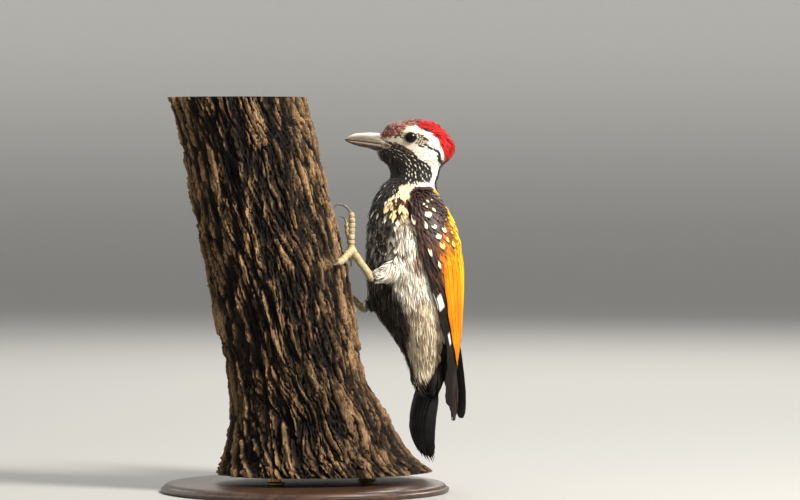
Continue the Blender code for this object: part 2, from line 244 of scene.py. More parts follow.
def add_mesh(name, points, quads=(), tris=(), sharp_over=None):
    """A smooth-shaded object from arrays of points in millimetres, four-cornered and three-cornered faces."""
    quads = np.asarray(quads, np.int32).reshape(-1, 4)
    tris = np.asarray(tris, np.int32).reshape(-1, 3)
    mesh = bpy.data.meshes.new(name)
    mesh.vertices.add(len(points))
    mesh.vertices.foreach_set("co", (np.asarray(points, float) * MM).astype(np.float32).ravel())
    corners = np.concatenate((quads.ravel(), tris.ravel()))
    mesh.loops.add(len(corners))
    mesh.loops.foreach_set("vertex_index", corners)
    sizes = np.concatenate((np.full(len(quads), 4), np.full(len(tris), 3)))
    starts = np.concatenate(((0,), np.cumsum(sizes)[:-1])).astype(np.int32)
    mesh.polygons.add(len(sizes))
    mesh.polygons.foreach_set("loop_start", starts)
    mesh.update(calc_edges=True)
    mesh.shade_smooth()
    if sharp_over:
        mesh.set_sharp_from_angle(angle=math.radians(sharp_over))
    return placed(name, mesh)


def read(items, key, width, kind):
    """One property of many mesh items as an array with so many columns."""
    flat = np.empty(len(items) * width, kind)
    items.foreach_get(key, flat)
    return flat.reshape(-1, width)


def points_of(piece):
    return read(piece.data.vertices, "co", 3, np.float32).astype(float) / MM


def normals_of(piece):
    return read(piece.data.vertices, "normal", 3, np.float32).astype(float)


def corners_of(mesh):
    """The three point numbers of each triangle."""
    mesh.calc_loop_triangles()
    return read(mesh.loop_triangles, "vertices", 3, np.int32)


def move_points(piece, points):
    piece.data.vertices.foreach_set("co", (points * MM).astype(np.float32).ravel())
    piece.data.update()


def paint(piece, name, values):
    """Stores one colour, vector or number for each point of a piece."""
    values, kind, key = np.asarray(values, float), "FLOAT", "value"
    if name.endswith("colour"):
        values, kind, key = np.pad(values, ((0, 0), (0, 1)), constant_values=1), "FLOAT_COLOR", "color"
    elif values.ndim == 2:
        kind, key = "FLOAT_VECTOR", "vector"
    layer = piece.data.attributes.get(name) or piece.data.attributes.new(name, kind, "POINT")
    layer.data.foreach_set(key, values.astype(np.float32).ravel())


def grid_quads(rows, columns, wraps=False):
    """Faces of a grid of points, row after row; with wraps, the last column joins the first."""
    across = columns if wraps else columns - 1
    row, column = np.meshgrid(np.arange(rows - 1), np.arange(across), indexing="ij")
    a = row * columns + column
    b = row * columns + (column + 1) % columns
    return np.stack((a, b, b + columns, a + columns), axis=-1).reshape(-1, 4)


def face_outward(piece):
    """Turns the faces round where a closed piece came out inside out."""
    with editing(piece.data) as build:
        bmesh.ops.recalc_face_normals(build, faces=build.faces)


def turned_solid(name, rings, hubs, **more):
    """A closed solid from equal rings of points and the two points that its ends run in to."""
    steps = len(rings[0])
    points = np.concatenate([*rings, hubs])
    column = np.arange(steps)
    beside = (column + 1) % steps
    last = (len(rings) - 1) * steps
    low_hub, high_hub = (np.full(steps, len(points) - back) for back in (2, 1))
    low_fan = np.stack((beside, column, low_hub), axis=1)
    high_fan = np.stack((last + column, last + beside, high_hub), axis=1)
    return add_mesh(name, points, grid_quads(len(rings), steps, wraps=True), (*low_fan, *high_fan), **more)


def node_points(node):
    return points_of(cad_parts[node])


def tree_of(piece):
    """A search tree of a piece's faces."""
    return BVHTree.FromPolygons((points_of(piece) * MM).tolist(), corners_of(piece.data).tolist())


def node_tree(node):
    """A search tree of a frame node, also when it is already replaced."""
    return tree_of(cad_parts[node])


def copy_of(nodes, name, grow=0.0):
    """Copies of frame nodes joined into one object, each grown outward a little."""
    joined = bpy.data.meshes.new(name)
    with editing(joined) as build:
        for node in nodes:
            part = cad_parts[node].data.copy()
            with editing(part) as one:
                bmesh.ops.remove_doubles(one, verts=one.verts, dist=1e-6)
                one.normal_update()
                for vert in one.verts:
                    vert.co += vert.normal * grow * MM
            build.from_mesh(part)
            bpy.data.meshes.remove(part)
    joined.shade_smooth()
    return placed(name, joined)


def cut_away(piece, place, way):
    """Cuts off what lies beyond a plane through a place in millimetres, and closes the cut."""
    with editing(piece.data) as build:
        everything = build.verts[:] + build.edges[:] + build.faces[:]
        plane = dict(plane_co=place * MM, plane_no=way, clear_outer=True)
        cut = bmesh.ops.bisect_plane(build, geom=everything, **plane)
        rim = [edge for edge in cut["geom_cut"] if isinstance(edge, bmesh.types.BMEdge)]
        bmesh.ops.holes_fill(build, edges=rim, sides=0)


def apply_modifiers(piece):
    shape = bpy.data.meshes.new_from_object(piece.evaluated_get(bpy.context.evaluated_depsgraph_get()))
    piece.modifiers.clear()
    old = piece.data
    piece.data = shape
    bpy.data.meshes.remove(old)


def fuse(piece, voxel, smoothing=4):
    """Melts joined solids into one closed surface of even faces and keeps its largest part."""
    melt = piece.modifiers.new("melt", "REMESH")
    melt.mode = "VOXEL"
    melt.voxel_size = voxel * MM
    melt.use_smooth_shade = True
    calm = piece.modifiers.new("calm", "SMOOTH")
    calm.factor = 0.5
    calm.iterations = smoothing
    apply_modifiers(piece)
    with editing(piece.data) as build:
        unseen = set(build.verts)
        islands = []
        while unseen:
            stack = [unseen.pop()]
            island = list(stack)
            while stack:
                beside = {vert for edge in stack.pop().link_edges for vert in edge.verts} & unseen
                unseen -= beside
                island.extend(beside)
                stack.extend(beside)
            islands.append(island)
        islands.sort(key=len)
        spare = [vert for island in islands[:-1] for vert in island]
        bmesh.ops.delete(build, geom=spare, context="VERTS")
    piece.data.shade_smooth()


def settle(piece, material, nodes=()):
    """Gives a piece its finish and its place in the frame, and hides the frame nodes that it stands for."""
    piece.data.materials.clear()
    piece.data.materials.append(material)
    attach(piece, "root")
    if nodes:
        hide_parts(*nodes)
    return piece


# ---------------------------------------------------------------- shader nodes


def put(tree, kind, inputs=(), **settings):
    """Adds a shader node, sets it, and fills or links its inputs by name or number."""
    made = tree.nodes.new("ShaderNode" + kind)
    for key, value in settings.items():
        setattr(made, key, value)
    for key, value in dict(inputs).items():
        if isinstance(value, bpy.types.NodeSocket):
            tree.links.new(value, made.inputs[key])
        else:
            made.inputs[key].default_value = value
    return made


def sums(tree, operation, *values, clamp=False):
    return put(tree, "Math", dict(enumerate(values)), operation=operation, use_clamp=clamp).outputs[0]


def times(tree, first, second, **more):
    return sums(tree, "MULTIPLY", first, second, **more)


def plus(tree, first, second, **more):
    return sums(tree, "ADD", first, second, **more)


def minus(tree, first, second):
    return sums(tree, "SUBTRACT", first, second)


def here(tree, scale=(1.0, 1.0, 1.0)):
    """The place on the model in metres, stretched along each axis."""
    place = put(tree, "NewGeometry").outputs["Position"]
    return put(tree, "VectorMath", {0: place, 1: scale}, operation="MULTIPLY").outputs[0]


def noise(tree, place, scale, detail, **more):
    numbers = {"Vector": place, "Scale": scale, "Detail": detail, **more}
    return put(tree, "TexNoise", numbers).outputs["Fac"]


def remap(tree, value, low, high, to_low=0.0, to_high=1.0):
    numbers = {"Value": value, "From Min": low, "From Max": high, "To Min": to_low, "To Max": to_high}
    return put(tree, "MapRange", numbers, interpolation_type="SMOOTHSTEP").outputs["Result"]


def mixed(tree, share, first, second, kind="MIX"):
    ends = [end if isinstance(end, bpy.types.NodeSocket) else (*end, 1.0) for end in (first, second)]
    sockets = {0: share, 6: ends[0], 7: ends[1]}
    return put(tree, "Mix", sockets, data_type="RGBA", blend_type=kind, clamp_factor=True).outputs[2]


def stored(tree, name, output="Fac"):
    return put(tree, "Attribute", attribute_name=name).outputs[output]


def new_group(name, inputs, outputs):
    """A shader node group with named sockets; returns it with its input and output nodes."""
    group = bpy.data.node_groups.new(name, "ShaderNodeTree")
    for way, sockets in (("INPUT", inputs), ("OUTPUT", outputs)):
        for socket, kind, default in sockets:
            made = group.interface.new_socket(socket, in_out=way, socket_type="NodeSocket" + kind)
            if default is not None and way == "INPUT":
                made.default_value = default
    return group, group.nodes.new("NodeGroupInput"), group.nodes.new("NodeGroupOutput")


def new_material(name, roughness, **shader_values):
    material = bpy.data.materials.new(name)
    material.use_nodes = True
    tree = material.node_tree
    shader = tree.nodes["Principled BSDF"]
    shader.inputs["Roughness"].default_value = roughness
    for socket, value in shader_values.items():
        shader.inputs[socket.replace("_", " ")].default_value = value
    return material, tree, shader


def use_group(tree, group, inputs):
    return put(tree, "Group", inputs, node_tree=group)


def bump(tree, shader, height, strength, distance):
    raised = put(tree, "Bump", {"Strength": strength, "Distance": distance * MM, "Height": height})
    tree.links.new(raised.outputs["Normal"], shader.inputs["Normal"])


def grain_group():
    """Fine surface grain: two sizes of noise, stretched along the height as the user of the group asks."""
    made = bpy.data.node_groups.get("Fine Grain")
    if made:
        return made
    sockets = [("Size", "Float", 1.0), ("Stretch", "Float", 1.0), ("Contrast", "Float", 1.0)]
    results = [("Mask", "Float", None), ("Height", "Float", None)]
    group, source, sink = new_group("Fine Grain", sockets, results)
    place = put(group, "NewGeometry").outputs["Position"]
    across = sums(group, "DIVIDE", 1000.0, source.outputs["Size"])
    along = sums(group, "DIVIDE", across, source.outputs["Stretch"])
    scale = put(group, "CombineXYZ", {0: across, 1: across, 2: along}).outputs[0]
    moved = put(group, "VectorMath", {0: place, 1: scale}, operation="MULTIPLY").outputs[0]
    coarse = noise(group, moved, 1.0, 3.0)
    fine = noise(group, moved, 3.7, 4.0, Roughness=0.65)
    both = plus(group, times(group, coarse, 0.55), times(group, fine, 0.45))
    spread = times(group, minus(group, both, 0.5), source.outputs["Contrast"])
    group.links.new(plus(group, spread, 0.5, clamp=True), sink.inputs["Mask"])
    group.links.new(both, sink.inputs["Height"])
    return group


def grain(tree, size, contrast, stretch=1.0):
    """The mask and the height of the fine grain."""
    made = use_group(tree, grain_group(), {"Size": size, "Stretch": stretch, "Contrast": contrast})
    return made.outputs


# ---------------------------------------------------------------- what a user can change


def colour_choice(name, description, rgb):
    share = tuple(value / 255 for value in rgb)
    return FloatVectorProperty(
        name=name, description=description, default=share, size=3, min=0.0, max=1.0, subtype="COLOR_GAMMA"
    )


def length_choice(name, description, millimetres):
    return FloatProperty(
        name=name, description=description, default=millimetres * MM, min=0.0, unit="LENGTH", precision=5
    )


def power_choice(name, description, watts):
    return FloatProperty(name=name, description=description, default=watts, min=0.0, unit="POWER")


class StageChoices(PropertyGroup):
    floor_colour: colour_choice("Floor", "Colour of the floor and of the backdrop", (226, 224, 219))
    key_power: power_choice("Key light", "Power of the main light", 74.0)
    fill_power: power_choice("Fill light", "Power of the soft light", 10.0)
    camera_distance: length_choice("Camera distance", "From the camera to the model", 3000.0)


class BarkChoices(PropertyGroup):
    plate_width: length_choice("Plate width", "Mean width of the bark's plates", 5.6)
    plate_length: length_choice("Plate length", "Mean length of the bark's plates", 46.0)
    fissure_depth: length_choice("Fissure depth", "How deep the cracks between the plates go", 4.6)
    ridge_colour: colour_choice("Ridges", "Colour of the weathered plate faces", (160, 129, 96))
    # the flank colour darkens plates by their tone, and 0.6 of it is the painted shade on the cracks' walls;
    # the fissure colour is painted shade deep in the cracks and also colours fine dark specks
    flank_colour: colour_choice("Flanks", "Colour of the plates' sides", (74, 55, 36))
    fissure_colour: colour_choice("Fissures", "Colour deep in the cracks", (15, 9, 6))
    sawn_colour: colour_choice("Sawn wood", "Colour of the cut ends", (196, 160, 116))


class StandChoices(PropertyGroup):
    wood_colour: colour_choice("Wood", "Colour of the stained base", (66, 44, 30))
    metal_colour: colour_choice("Metal", "Colour of the brass rods", (186, 158, 104))


# ---------------------------------------------------------------- stage

VIEW_TURN, VIEW_RISE = -20.0, 1.4  # degrees: round from the bird's left side, and above level
VIEW_CENTRE = (60.7, -22.1, 164.2)
FRAME_WIDTH = 544.0  # what the view takes in across the model
FLOOR_LEVEL = -0.1
FLAT_FLOOR, BEND, BACKDROP_TOP = 3600.0, 1600.0, 4200.0  # the floor's flat reach, its bend's radius, its rim


def ring_at(turns, reach, height, centre=(0.0, 0.0)):
    """A level ring of points."""
    x, y = centre[0] + reach * np.cos(turns), centre[1] + reach * np.sin(turns)
    return np.stack((x, y, np.full(len(turns), height)), axis=1)


def toward_view(turn, rise):
    """A direction from the model, by degrees round from its left side (-Y) and above level."""
    round_, up = math.radians(turn), math.radians(rise)
    return Vector((math.sin(round_) * math.cos(up), -math.cos(round_) * math.cos(up), math.sin(up)))


def aim(made, turn, rise, distance):
    """Stands a lamp or camera off the view's centre, looking back at it."""
    way = toward_view(turn, rise)
    made.location = Vector(VIEW_CENTRE) * MM + way * distance
    made.rotation_euler = way.to_track_quat("Z", "Y").to_euler()


def add_light(name, turn, rise, distance, size, power, colour):
    lamp = bpy.data.lights.new(name, "AREA")
    lamp.shape = "DISK"
    lamp.size = size
    lamp.energy = power
    lamp.color = colour
    aim(placed(name, lamp), turn, rise, distance)


class WOODPECKER_OT_stage(Operator):
    """Makes the floor with its backdrop, the lights and the camera"""

    bl_idname = "woodpecker.stage"
    bl_label = "Stage"

    def execute(self, context):
        choices = context.scene.woodpecker_stage
        scene = context.scene
        turns = np.radians(np.arange(0, 360, 5))
        rise = np.radians(np.arange(0, 91, 9))
        bowl = [(reach, FLOOR_LEVEL) for reach in (400.0, 1200.0, 2400.0, FLAT_FLOOR)]
        bowl += [(FLAT_FLOOR + BEND * math.sin(a), BEND - BEND * math.cos(a) + FLOOR_LEVEL) for a in rise]
        bowl.append((FLAT_FLOOR + BEND, BACKDROP_TOP))
        rings = [ring_at(turns, reach, height) for reach, height in bowl]
        points = np.concatenate([*rings, [(0.0, 0.0, FLOOR_LEVEL)]])
        centre = len(points) - 1
        fan = [(centre, i, (i + 1) % len(turns)) for i in range(len(turns))]
        floor = add_mesh("floor", points, grid_quads(len(bowl), len(turns), wraps=True)[:, ::-1], fan)
        material, tree, shader = new_material("studio paper", 0.9)
        mask, _ = grain(tree, 14.0, 0.5)
        tint = dye(choices.floor_colour)
        place = put(tree, "SeparateXYZ", {0: put(tree, "NewGeometry").outputs["Position"]})
        colour = mixed(tree, remap(tree, place.outputs[2], 0.0, 0.5), tint * 0.46, tint)
        fibres = mixed(tree, mask, (0.97, 0.97, 0.97), (1.0, 1.0, 1.0))
        tree.links.new(mixed(tree, 1.0, colour, fibres, "MULTIPLY"), shader.inputs["Base Color"])
        floor.data.materials.append(material)

        add_light("key", 30.0, 40.0, 1.9, 0.5, choices.key_power, (1.0, 0.965, 0.9))
        add_light("fill", -70.0, 14.0, 2.6, 1.8, choices.fill_power * 0.35, (0.93, 0.97, 1.0))
        add_light("back", 150.0, 36.0, 2.4, 1.2, choices.key_power * 0.55, (1.0, 0.97, 0.92))
        add_light("far_side", 215.0, 18.0, 2.6, 1.8, choices.fill_power * 1.2, (0.95, 0.98, 1.0))
        scene.world = bpy.data.worlds.new("studio")
        scene.world.use_nodes = True
        sky = scene.world.node_tree.nodes["Background"]
        sky.inputs["Color"].default_value = (0.93, 0.96, 1.0, 1.0)
        sky.inputs["Strength"].default_value = 0.62

        lens = bpy.data.cameras.new("camera")
        lens.sensor_width = 36.0
        lens.lens = 36.0 * choices.camera_distance / (FRAME_WIDTH * MM)
        lens.clip_start = 0.05
        scene.camera = placed("camera", lens)
        aim(scene.camera, VIEW_TURN, VIEW_RISE, choices.camera_distance)
        scene.view_settings.view_transform = "Standard"
        return {"FINISHED"}


# ---------------------------------------------------------------- perch

BARK_ROWS, BARK_COLUMNS = 330, 400
BARK_GIRTH = 2 * math.pi * 50
SAWN_SHARES = (0.985, 0.93, 0.8, 0.6, 0.4, 0.2, 0.08)  # rings of the sawn ends, as shares of the outline
TOES = {
    side: [f"toe_{toe}_{side}" for toe in ("outer_rear", "middle", "inner", "hind")] for side in SIDES
}
CLAWS = {side: [toe.replace("toe", "claw") for toe in TOES[side]] for side in SIDES}


def middle_line(nodes):
    """The heights of the nodes' corners, and X half way through the nodes at each."""
    corners = np.concatenate([node_points(node) for node in nodes])
    levels = np.unique(np.round(corners[:, 2], 1))
    rings = [corners[np.abs(corners[:, 2] - level) < 0.2, 0] for level in levels]
    return levels, np.array([(ring.min() + ring.max()) / 2 for ring in rings])


def perch_surface():
    """Rows of points round the perch's frame node, and the outward direction at each."""
    levels, centres = middle_line(["perch"])
    tree = node_tree("perch")
    heights = np.linspace(PERCH_LOW + 0.02, PERCH_HIGH - 0.02, BARK_ROWS)
    turns = np.linspace(0, 2 * np.pi, BARK_COLUMNS, endpoint=False)
    points = np.empty((BARK_ROWS, BARK_COLUMNS, 3))
    ways = ring_at(turns, 1.0, 0.0)
    for row, height in enumerate(heights):
        axis = np.array((np.interp(height, levels, centres), 0.0, height))
        for column, way in enumerate(ways):
            start = (axis + way * 140) * MM
            hit = tree.ray_cast(Vector(start), Vector(-way))[0]
            points[row, column] = np.array(hit) / MM
    return points, ways


def plates(places, width, length, seed):
    """Crazed plates on the unrolled perch.

    For each place: how far it is from the nearest crack, the number of its plate and its offset from the
    plate's middle, all in plate widths and lengths; and the count of plates.
    """
    random = draws(seed)
    columns, rows = max(3, round(BARK_GIRTH / width)), int(320 / length) + 2
    column, row = np.meshgrid(np.arange(columns), np.arange(rows), indexing="ij")
    jitter = random.uniform(-0.42, 0.42, (2, columns, rows))
    across = (column + 0.5 * (row % 2) + jitter[0]) * BARK_GIRTH / columns
    along = (row - 0.5 + jitter[1]) * length
    seeds = np.stack((across.ravel() / width, along.ravel() / length, np.zeros(columns * rows)), axis=1)
    count = len(seeds)
    shift = np.array((BARK_GIRTH / width, 0.0, 0.0))
    tree = point_tree(np.concatenate((seeds, seeds - shift, seeds + shift)))
    scaled = places / np.array((width, length))
    gap = np.empty(len(scaled))
    owner = np.empty(len(scaled), int)
    offset = np.empty((len(scaled), 2))
    for i, (x, y) in enumerate(scaled):
        (first, number, near), (_, _, far) = tree.find_n((x, y, 0.0), 2)
        gap[i], owner[i], offset[i] = far - near, number % count, (x - first[0], y - first[1])
    return gap, owner, offset, count


class WOODPECKER_OT_perch(Operator):
    """Makes the cut length of trunk with its plated bark and sawn ends"""

    bl_idname = "woodpecker.perch"
    bl_label = "Perch"

    def execute(self, context):
        choices = context.scene.woodpecker_bark
        surface, ways = perch_surface()
        flat = surface.reshape(-1, 3)
        turn = np.tile(np.linspace(0, BARK_GIRTH, BARK_COLUMNS, endpoint=False), BARK_ROWS)
        height = flat[:, 2]
        lean = 0.16 * (height - 140)  # the plates run a little askew
        drawn = drawn_out(flat, 0.3)
        sway = 3.4 * cloud(flat, 26, 3) + 1.8 * cloud(drawn, 8, 4) + 0.8 * cloud(drawn, 2.4, 5)
        drift = 8.0 * cloud(flat, 30, 6) + 4.0 * cloud(flat, 8, 7) + 1.6 * cloud(flat, 3.0, 8)
        places = np.stack((np.mod(turn + sway + lean, BARK_GIRTH), height + drift), axis=1)
        width, length = choices.plate_width / MM, choices.plate_length / MM
        gap, owner, offset, count = plates(places, width, length, 21)
        small_gap, small, small_offset, small_count = plates(places, width * 0.45, length * 0.42, 22)
        tiny_gap, tiny, _, tiny_count = plates(places, width * 0.22, length * 0.24, 25)
        random = draws(23)
        step = random.uniform(0, 1, count)[owner] ** 1.4
        tilt = random.normal(0, 1.0, (2, count))
        small_step = random.uniform(0, 1, small_count)[small]
        small_tilt = random.normal(0, 1.0, (2, small_count))
        tiny_step = random.uniform(0, 1, tiny_count)[tiny]
        depth = choices.fissure_depth / MM
        crack = 1 - ease(gap, 0.0, 0.22 + 0.14 * cloud(flat, 12, 9))
        small_crack = 1 - ease(small_gap, 0.0, 0.2)
        sunk = crack * depth * (0.75 + 0.35 * cloud(flat, 16, 11))
        slope = 1.3 * tilt[0][owner] * offset[:, 0] + 1.2 * tilt[1][owner] * offset[:, 1]
        sunk += (1 - crack) * (2.6 * step + slope) + small_crack * 1.1 + (1 - crack) * 1.5 * small_step
        sunk += 0.8 * np.sum(small_tilt.T[small] * small_offset, axis=1)
        sunk += 0.75 * tiny_step + 0.35 * (1 - ease(tiny_gap, 0.0, 0.3))
        sunk += 0.9 * layered_cloud(drawn_out(flat, 0.16), 1.6, 12)
        flake = 3.4 * layered_cloud(drawn_out(flat, 0.2), 5.5, 13) + 0.7 * cloud(drawn, 1.3, 14)
        ledge = np.floor(flake) + ease(flake - np.floor(flake), 0.72, 1.0)  # flat ledges with steep edges
        sunk -= 0.85 * ledge * (1 - 0.6 * crack)
        sunk = np.clip(sunk, 0.05, depth * 2.0)
        # the bark stays whole where the toes and claws hold it
        feet = [node_points(node)[::3] for side in SIDES for node in TOES[side] + CLAWS[side]]
        grip = point_tree(np.concatenate(feet))
        near = np.array([grip.find(point)[2] for point in flat])
        hold = 1 - ease(near, 1.5, 8.0)
        sunk = sunk * (1 - 0.5 * hold) + 0.1 * hold
        shape = flat - np.tile(ways, (BARK_ROWS, 1)) * sunk[:, None]
        edge = np.minimum(height - PERCH_LOW, PERCH_HIGH - height)
        shape[:, 2] = np.where(edge < 0.05, flat[:, 2], shape[:, 2])

        # the sawn ends: rings that run in to the middle
        grid = shape.reshape(BARK_ROWS, BARK_COLUMNS, 3)
        hubs = [ring.mean(axis=0) for ring in (grid[0], grid[-1])]
        low_rings = [hubs[0] + (grid[0] - hubs[0]) * share for share in SAWN_SHARES]
        high_rings = [hubs[1] + (grid[-1] - hubs[1]) * share for share in SAWN_SHARES]
        piece = turned_solid("bark", [*low_rings[::-1], *grid, *high_rings], hubs, sharp_over=70)
        ends = len(SAWN_SHARES) * BARK_COLUMNS
        margin = (ends, ends + len(hubs))
        # how far into a crack each point lies, which the bark's painted shade reads; less under the feet
        deep = np.clip(np.maximum(sunk / (depth * 1.25), 0.8 * crack * (1 - 0.4 * hold)), 0, 1)
        tone = 0.4 * random.uniform(0, 1, count)[owner] + 0.4 * random.uniform(0, 1, small_count)[small]
        tone += 0.12 - 0.2 * ledge + 0.34 * ease(-height, -135, -75)
        paint(piece, "depth", np.pad(deep, margin))
        paint(piece, "tone", np.pad(np.clip(tone, 0, 1), margin))
        paint(piece, "sawn", np.pad(np.zeros(len(shape)), margin, constant_values=1))
        settle(piece, bark_material(choices, hubs[1][:2]), ("perch",))
        return {"FINISHED"}


def bark_material(choices, heart):
    material, tree, shader = new_material("bark", 0.9, Specular_IOR_Level=0.25)
    depth, tone, sawn = (stored(tree, name) for name in ("depth", "tone", "sawn"))
    coarse_mask, coarse_height = grain(tree, 9.0, 2.6, stretch=2.6)
    fine_mask, fine_height = grain(tree, 0.9, 3.2, stretch=7.0)
    ridge, flank, dark = dye(choices.ridge_colour), dye(choices.flank_colour), dye(choices.fissure_colour)
    face = mixed(tree, coarse_mask, ridge * 0.55, ridge * 1.2)
    face = mixed(tree, times(tree, tone, 0.72), face, flank)
    streaks = times(tree, remap(tree, fine_mask, 0.45, 0.95), remap(tree, tone, 1.0, 0.1, 0.15, 0.75))
    face = mixed(tree, streaks, face, ridge * np.array((2.0, 1.85, 1.6)))
    # painted shade: the cracks darken with depth, to a dark plate side and then to near black
    face = mixed(tree, remap(tree, depth, 0.24, 0.56), face, flank * 0.6)
    face = mixed(tree, remap(tree, depth, 0.42, 0.78), face, dark)
    face = mixed(tree, times(tree, remap(tree, fine_mask, 0.42, 0.12), 0.7), face, dark)
    # growth rings of the sawn ends
    place = put(tree, "NewGeometry").outputs["Position"]
    apart = put(tree, "VectorMath", {0: place, 1: (*heart * MM, 0.0)}, operation="SUBTRACT").outputs[0]
    level = put(tree, "VectorMath", {0: apart, 1: (1000.0, 1000.0, 0.0)}, operation="MULTIPLY").outputs[0]
    reach = put(tree, "VectorMath", {0: level}, operation="LENGTH").outputs["Value"]
    wavy = plus(tree, reach, times(tree, coarse_height, 5.0))
    ring = sums(tree, "FRACT", sums(tree, "DIVIDE", wavy, 2.1))
    pale = dye(choices.sawn_colour)
    wood = mixed(tree, remap(tree, ring, 0.0, 1.0), pale, pale * np.array((0.62, 0.5, 0.38)))
    wood = mixed(tree, remap(tree, reach, 30.0, 6.0), wood, pale * np.array((0.7, 0.55, 0.42)))
    tree.links.new(mixed(tree, sawn, face, wood), shader.inputs["Base Color"])
    bump(tree, shader, plus(tree, fine_height, coarse_height), 1.0, 1.2)
    return material


# ---------------------------------------------------------------- stand


def lathe(name, profile, steps, centre=(0.0, 0.0)):
    """A closed turned solid from a profile of (radius, height), which starts and ends on the axis."""
    turns = np.linspace(0, 2 * np.pi, steps, endpoint=False)
    rings = [ring_at(turns, radius, height, centre) for radius, height in profile[1:-1]]
    hubs = [(*centre, height) for _, height in (profile[0], profile[-1])]
    return turned_solid(name, rings, hubs, sharp_over=35)


class WOODPECKER_OT_stand(Operator):
    """Makes the turned wooden base and the two metal rods that hold the perch"""

    bl_idname = "woodpecker.stand"
    bl_label = "Stand"

    def execute(self, context):
        choices = context.scene.woodpecker_stand
        reach = float(box("stand_base")[1][0])
        edge = ((1.4, 0), (0.4, 0.35), (0, 1.1), (0, 2.3), (0.5, 2.9), (1.6, 3.2), (2.0, 3.5), (2.3, 4.3),
                (3.2, 5.1), (4.6, 5.7), (6.5, BASE_TOP))  # how far in from the rim, and the height
        moulding = [(0, 0), *((reach - inward, height) for inward, height in edge), (0, BASE_TOP)]
        base = lathe("base", moulding, 160)
        material, tree, shader = new_material("stained wood", 0.38, Coat_Weight=0.25, Coat_Roughness=0.2)
        drawn = here(tree, (26.0, 420.0, 60.0))
        warp = noise(tree, drawn, 1.0, 5.0, Distortion=0.6)
        pores = noise(tree, drawn, 5.0, 2.0)
        tint = dye(choices.wood_colour)
        colour = mixed(tree, remap(tree, warp, 0.35, 0.68), tint * 0.5, tint * 1.5)
        colour = mixed(tree, remap(tree, pores, 0.62, 0.72), colour, tint * 0.35)
        tree.links.new(colour, shader.inputs["Base Color"])
        bump(tree, shader, pores, 0.25, 0.15)
        settle(base, material, ("stand_base",))

        brass, tree, shader = new_material("brushed brass", 0.34, Metallic=1.0)
        lines = noise(tree, here(tree, (300.0, 300.0, 9000.0)), 1.0, 3.0)
        tint = dye(choices.metal_colour)
        tree.links.new(mixed(tree, lines, tint * 0.7, tint * 1.1), shader.inputs["Base Color"])
        tree.links.new(remap(tree, lines, 0.2, 0.8, 0.26, 0.44), shader.inputs["Roughness"])
        bump(tree, shader, lines, 0.15, 0.05)
        for node in ("stand_rod_front", "stand_rod_back"):
            low, high = box(node)
            radius = (high[0] - low[0]) / 2
            bottom, top = low[2], high[2]
            collar = ((2.2, 0.0), (2.5, 0.3), (2.5, 1.0), (2.0, 1.3), (0.3, 1.5), (0.0, 1.9))
            turned = [(0, bottom)] + [(radius + wider, bottom + rise) for wider, rise in collar]
            turned += [(radius, (bottom + top) / 2), (radius, top), (0, top)]
            rod = lathe(node.replace("stand_", ""), turned, 48, middle(node)[:2])
            settle(rod, brass, (node,))
        return {"FINISHED"}


# ---------------------------------------------------------------- markings


class PlumageChoices(PropertyGroup):
    white: colour_choice("White", "Colour of the brow, the cheek and the neck's side", (250, 246, 234))
    cream: colour_choice("Cream", "Colour of the breast patches and the wing's spots", (244, 224, 178))
    flank: colour_choice("Flank", "Colour of the flank and the thighs", (250, 240, 222))
    black: colour_choice("Black", "Colour of the throat, the nape and the breast", (26, 20, 16))
    brown: colour_choice("Brown", "Colour of the streaks and bars", (104, 78, 54))
    crest: colour_choice("Crest", "Red of the hind crown and the crest", (214, 8, 4))
    forecrown: colour_choice("Forecrown", "Dull pinkish red above the bill", (160, 88, 74))
    face_spacing: length_choice("Face feather spacing", "Distance between the roots on the face", 0.82)
    body_spacing: length_choice("Body feather spacing", "Distance between the roots on the body", 2.3)


# Borders on the side of the head, (ahead of the eye, above the eye), the same on both sides.
CROWN_BORDER = [(24.0, 2.4), (18, -0.2), (10.1, 1.6), (5.85, 4.3), (2.7, 7.6), (-4.3, 8.6), (-6.6, 6.3),
                (-12.1, 3.9), (-16, 2.2), (-18.6, -0.4), (-20.3, -5), (-22.4, -8.2), (-23.4, -13.6),
                (-26.9, -14.6), (-34, -13)]
CROWN = CROWN_BORDER + [(-34, 40), (24, 40)]
EYE_PATCH = [(-2.6, 3.0), (-6.5, 2.6), (-10.4, 0.6), (-12.2, -2.6), (-10.8, -5.4), (-8.0, -6.6), (-4.6, -5.6),
             (-2.2, -4.2)]
LORES = [(10.4, 2.0), (5.6, 3.6), (3.0, 3.4), (3.2, -1.6), (6, -0.6), (10.4, 0.0)]
EYE_LINE = [(-13.3, -7.0), (-16.4, -8.2), (-19.1, -9.7), (-19.9, -15.2), (-21.1, -17.9), (-20.6, -23.4)]
THROAT_TOP = [(26, -2.4), (17.2, -2.7), (11.3, -3.5), (7.4, -4.1), (2.7, -7), (-1.2, -9.3), (-4.3, -13.3),
              (-7, -16.4), (-11.3, -17.9), (-13.7, -21.8), (-13.9, -27.4), (-11.9, -30)]
THROAT = THROAT_TOP + [(-8.2, -31), (-2.4, -31.4), (3.0, -31.2), (8.0, -36), (30, -38), (34, -2.4)]
HORN_BACK = [(34, 2.4), (24.2, 1.1), (21, -0.8), (17, -2.8), (13.2, -5.0), (13.4, -6.4), (16.2, -8.6),
             (21, -9.0), (34, -8.6)]  # where the bill's horn reaches back over the face to the gape
RED_FROM, RED_FULL = -2.0, -8.5  # where the forecrown's pink turns into the crest's red
TAN = np.array((186.0, 164.0, 124.0))
COLLAR_WHITE = np.array((250.0, 246.0, 234.0))
MANTLE_GOLD = np.array((206.0, 158.0, 34.0))
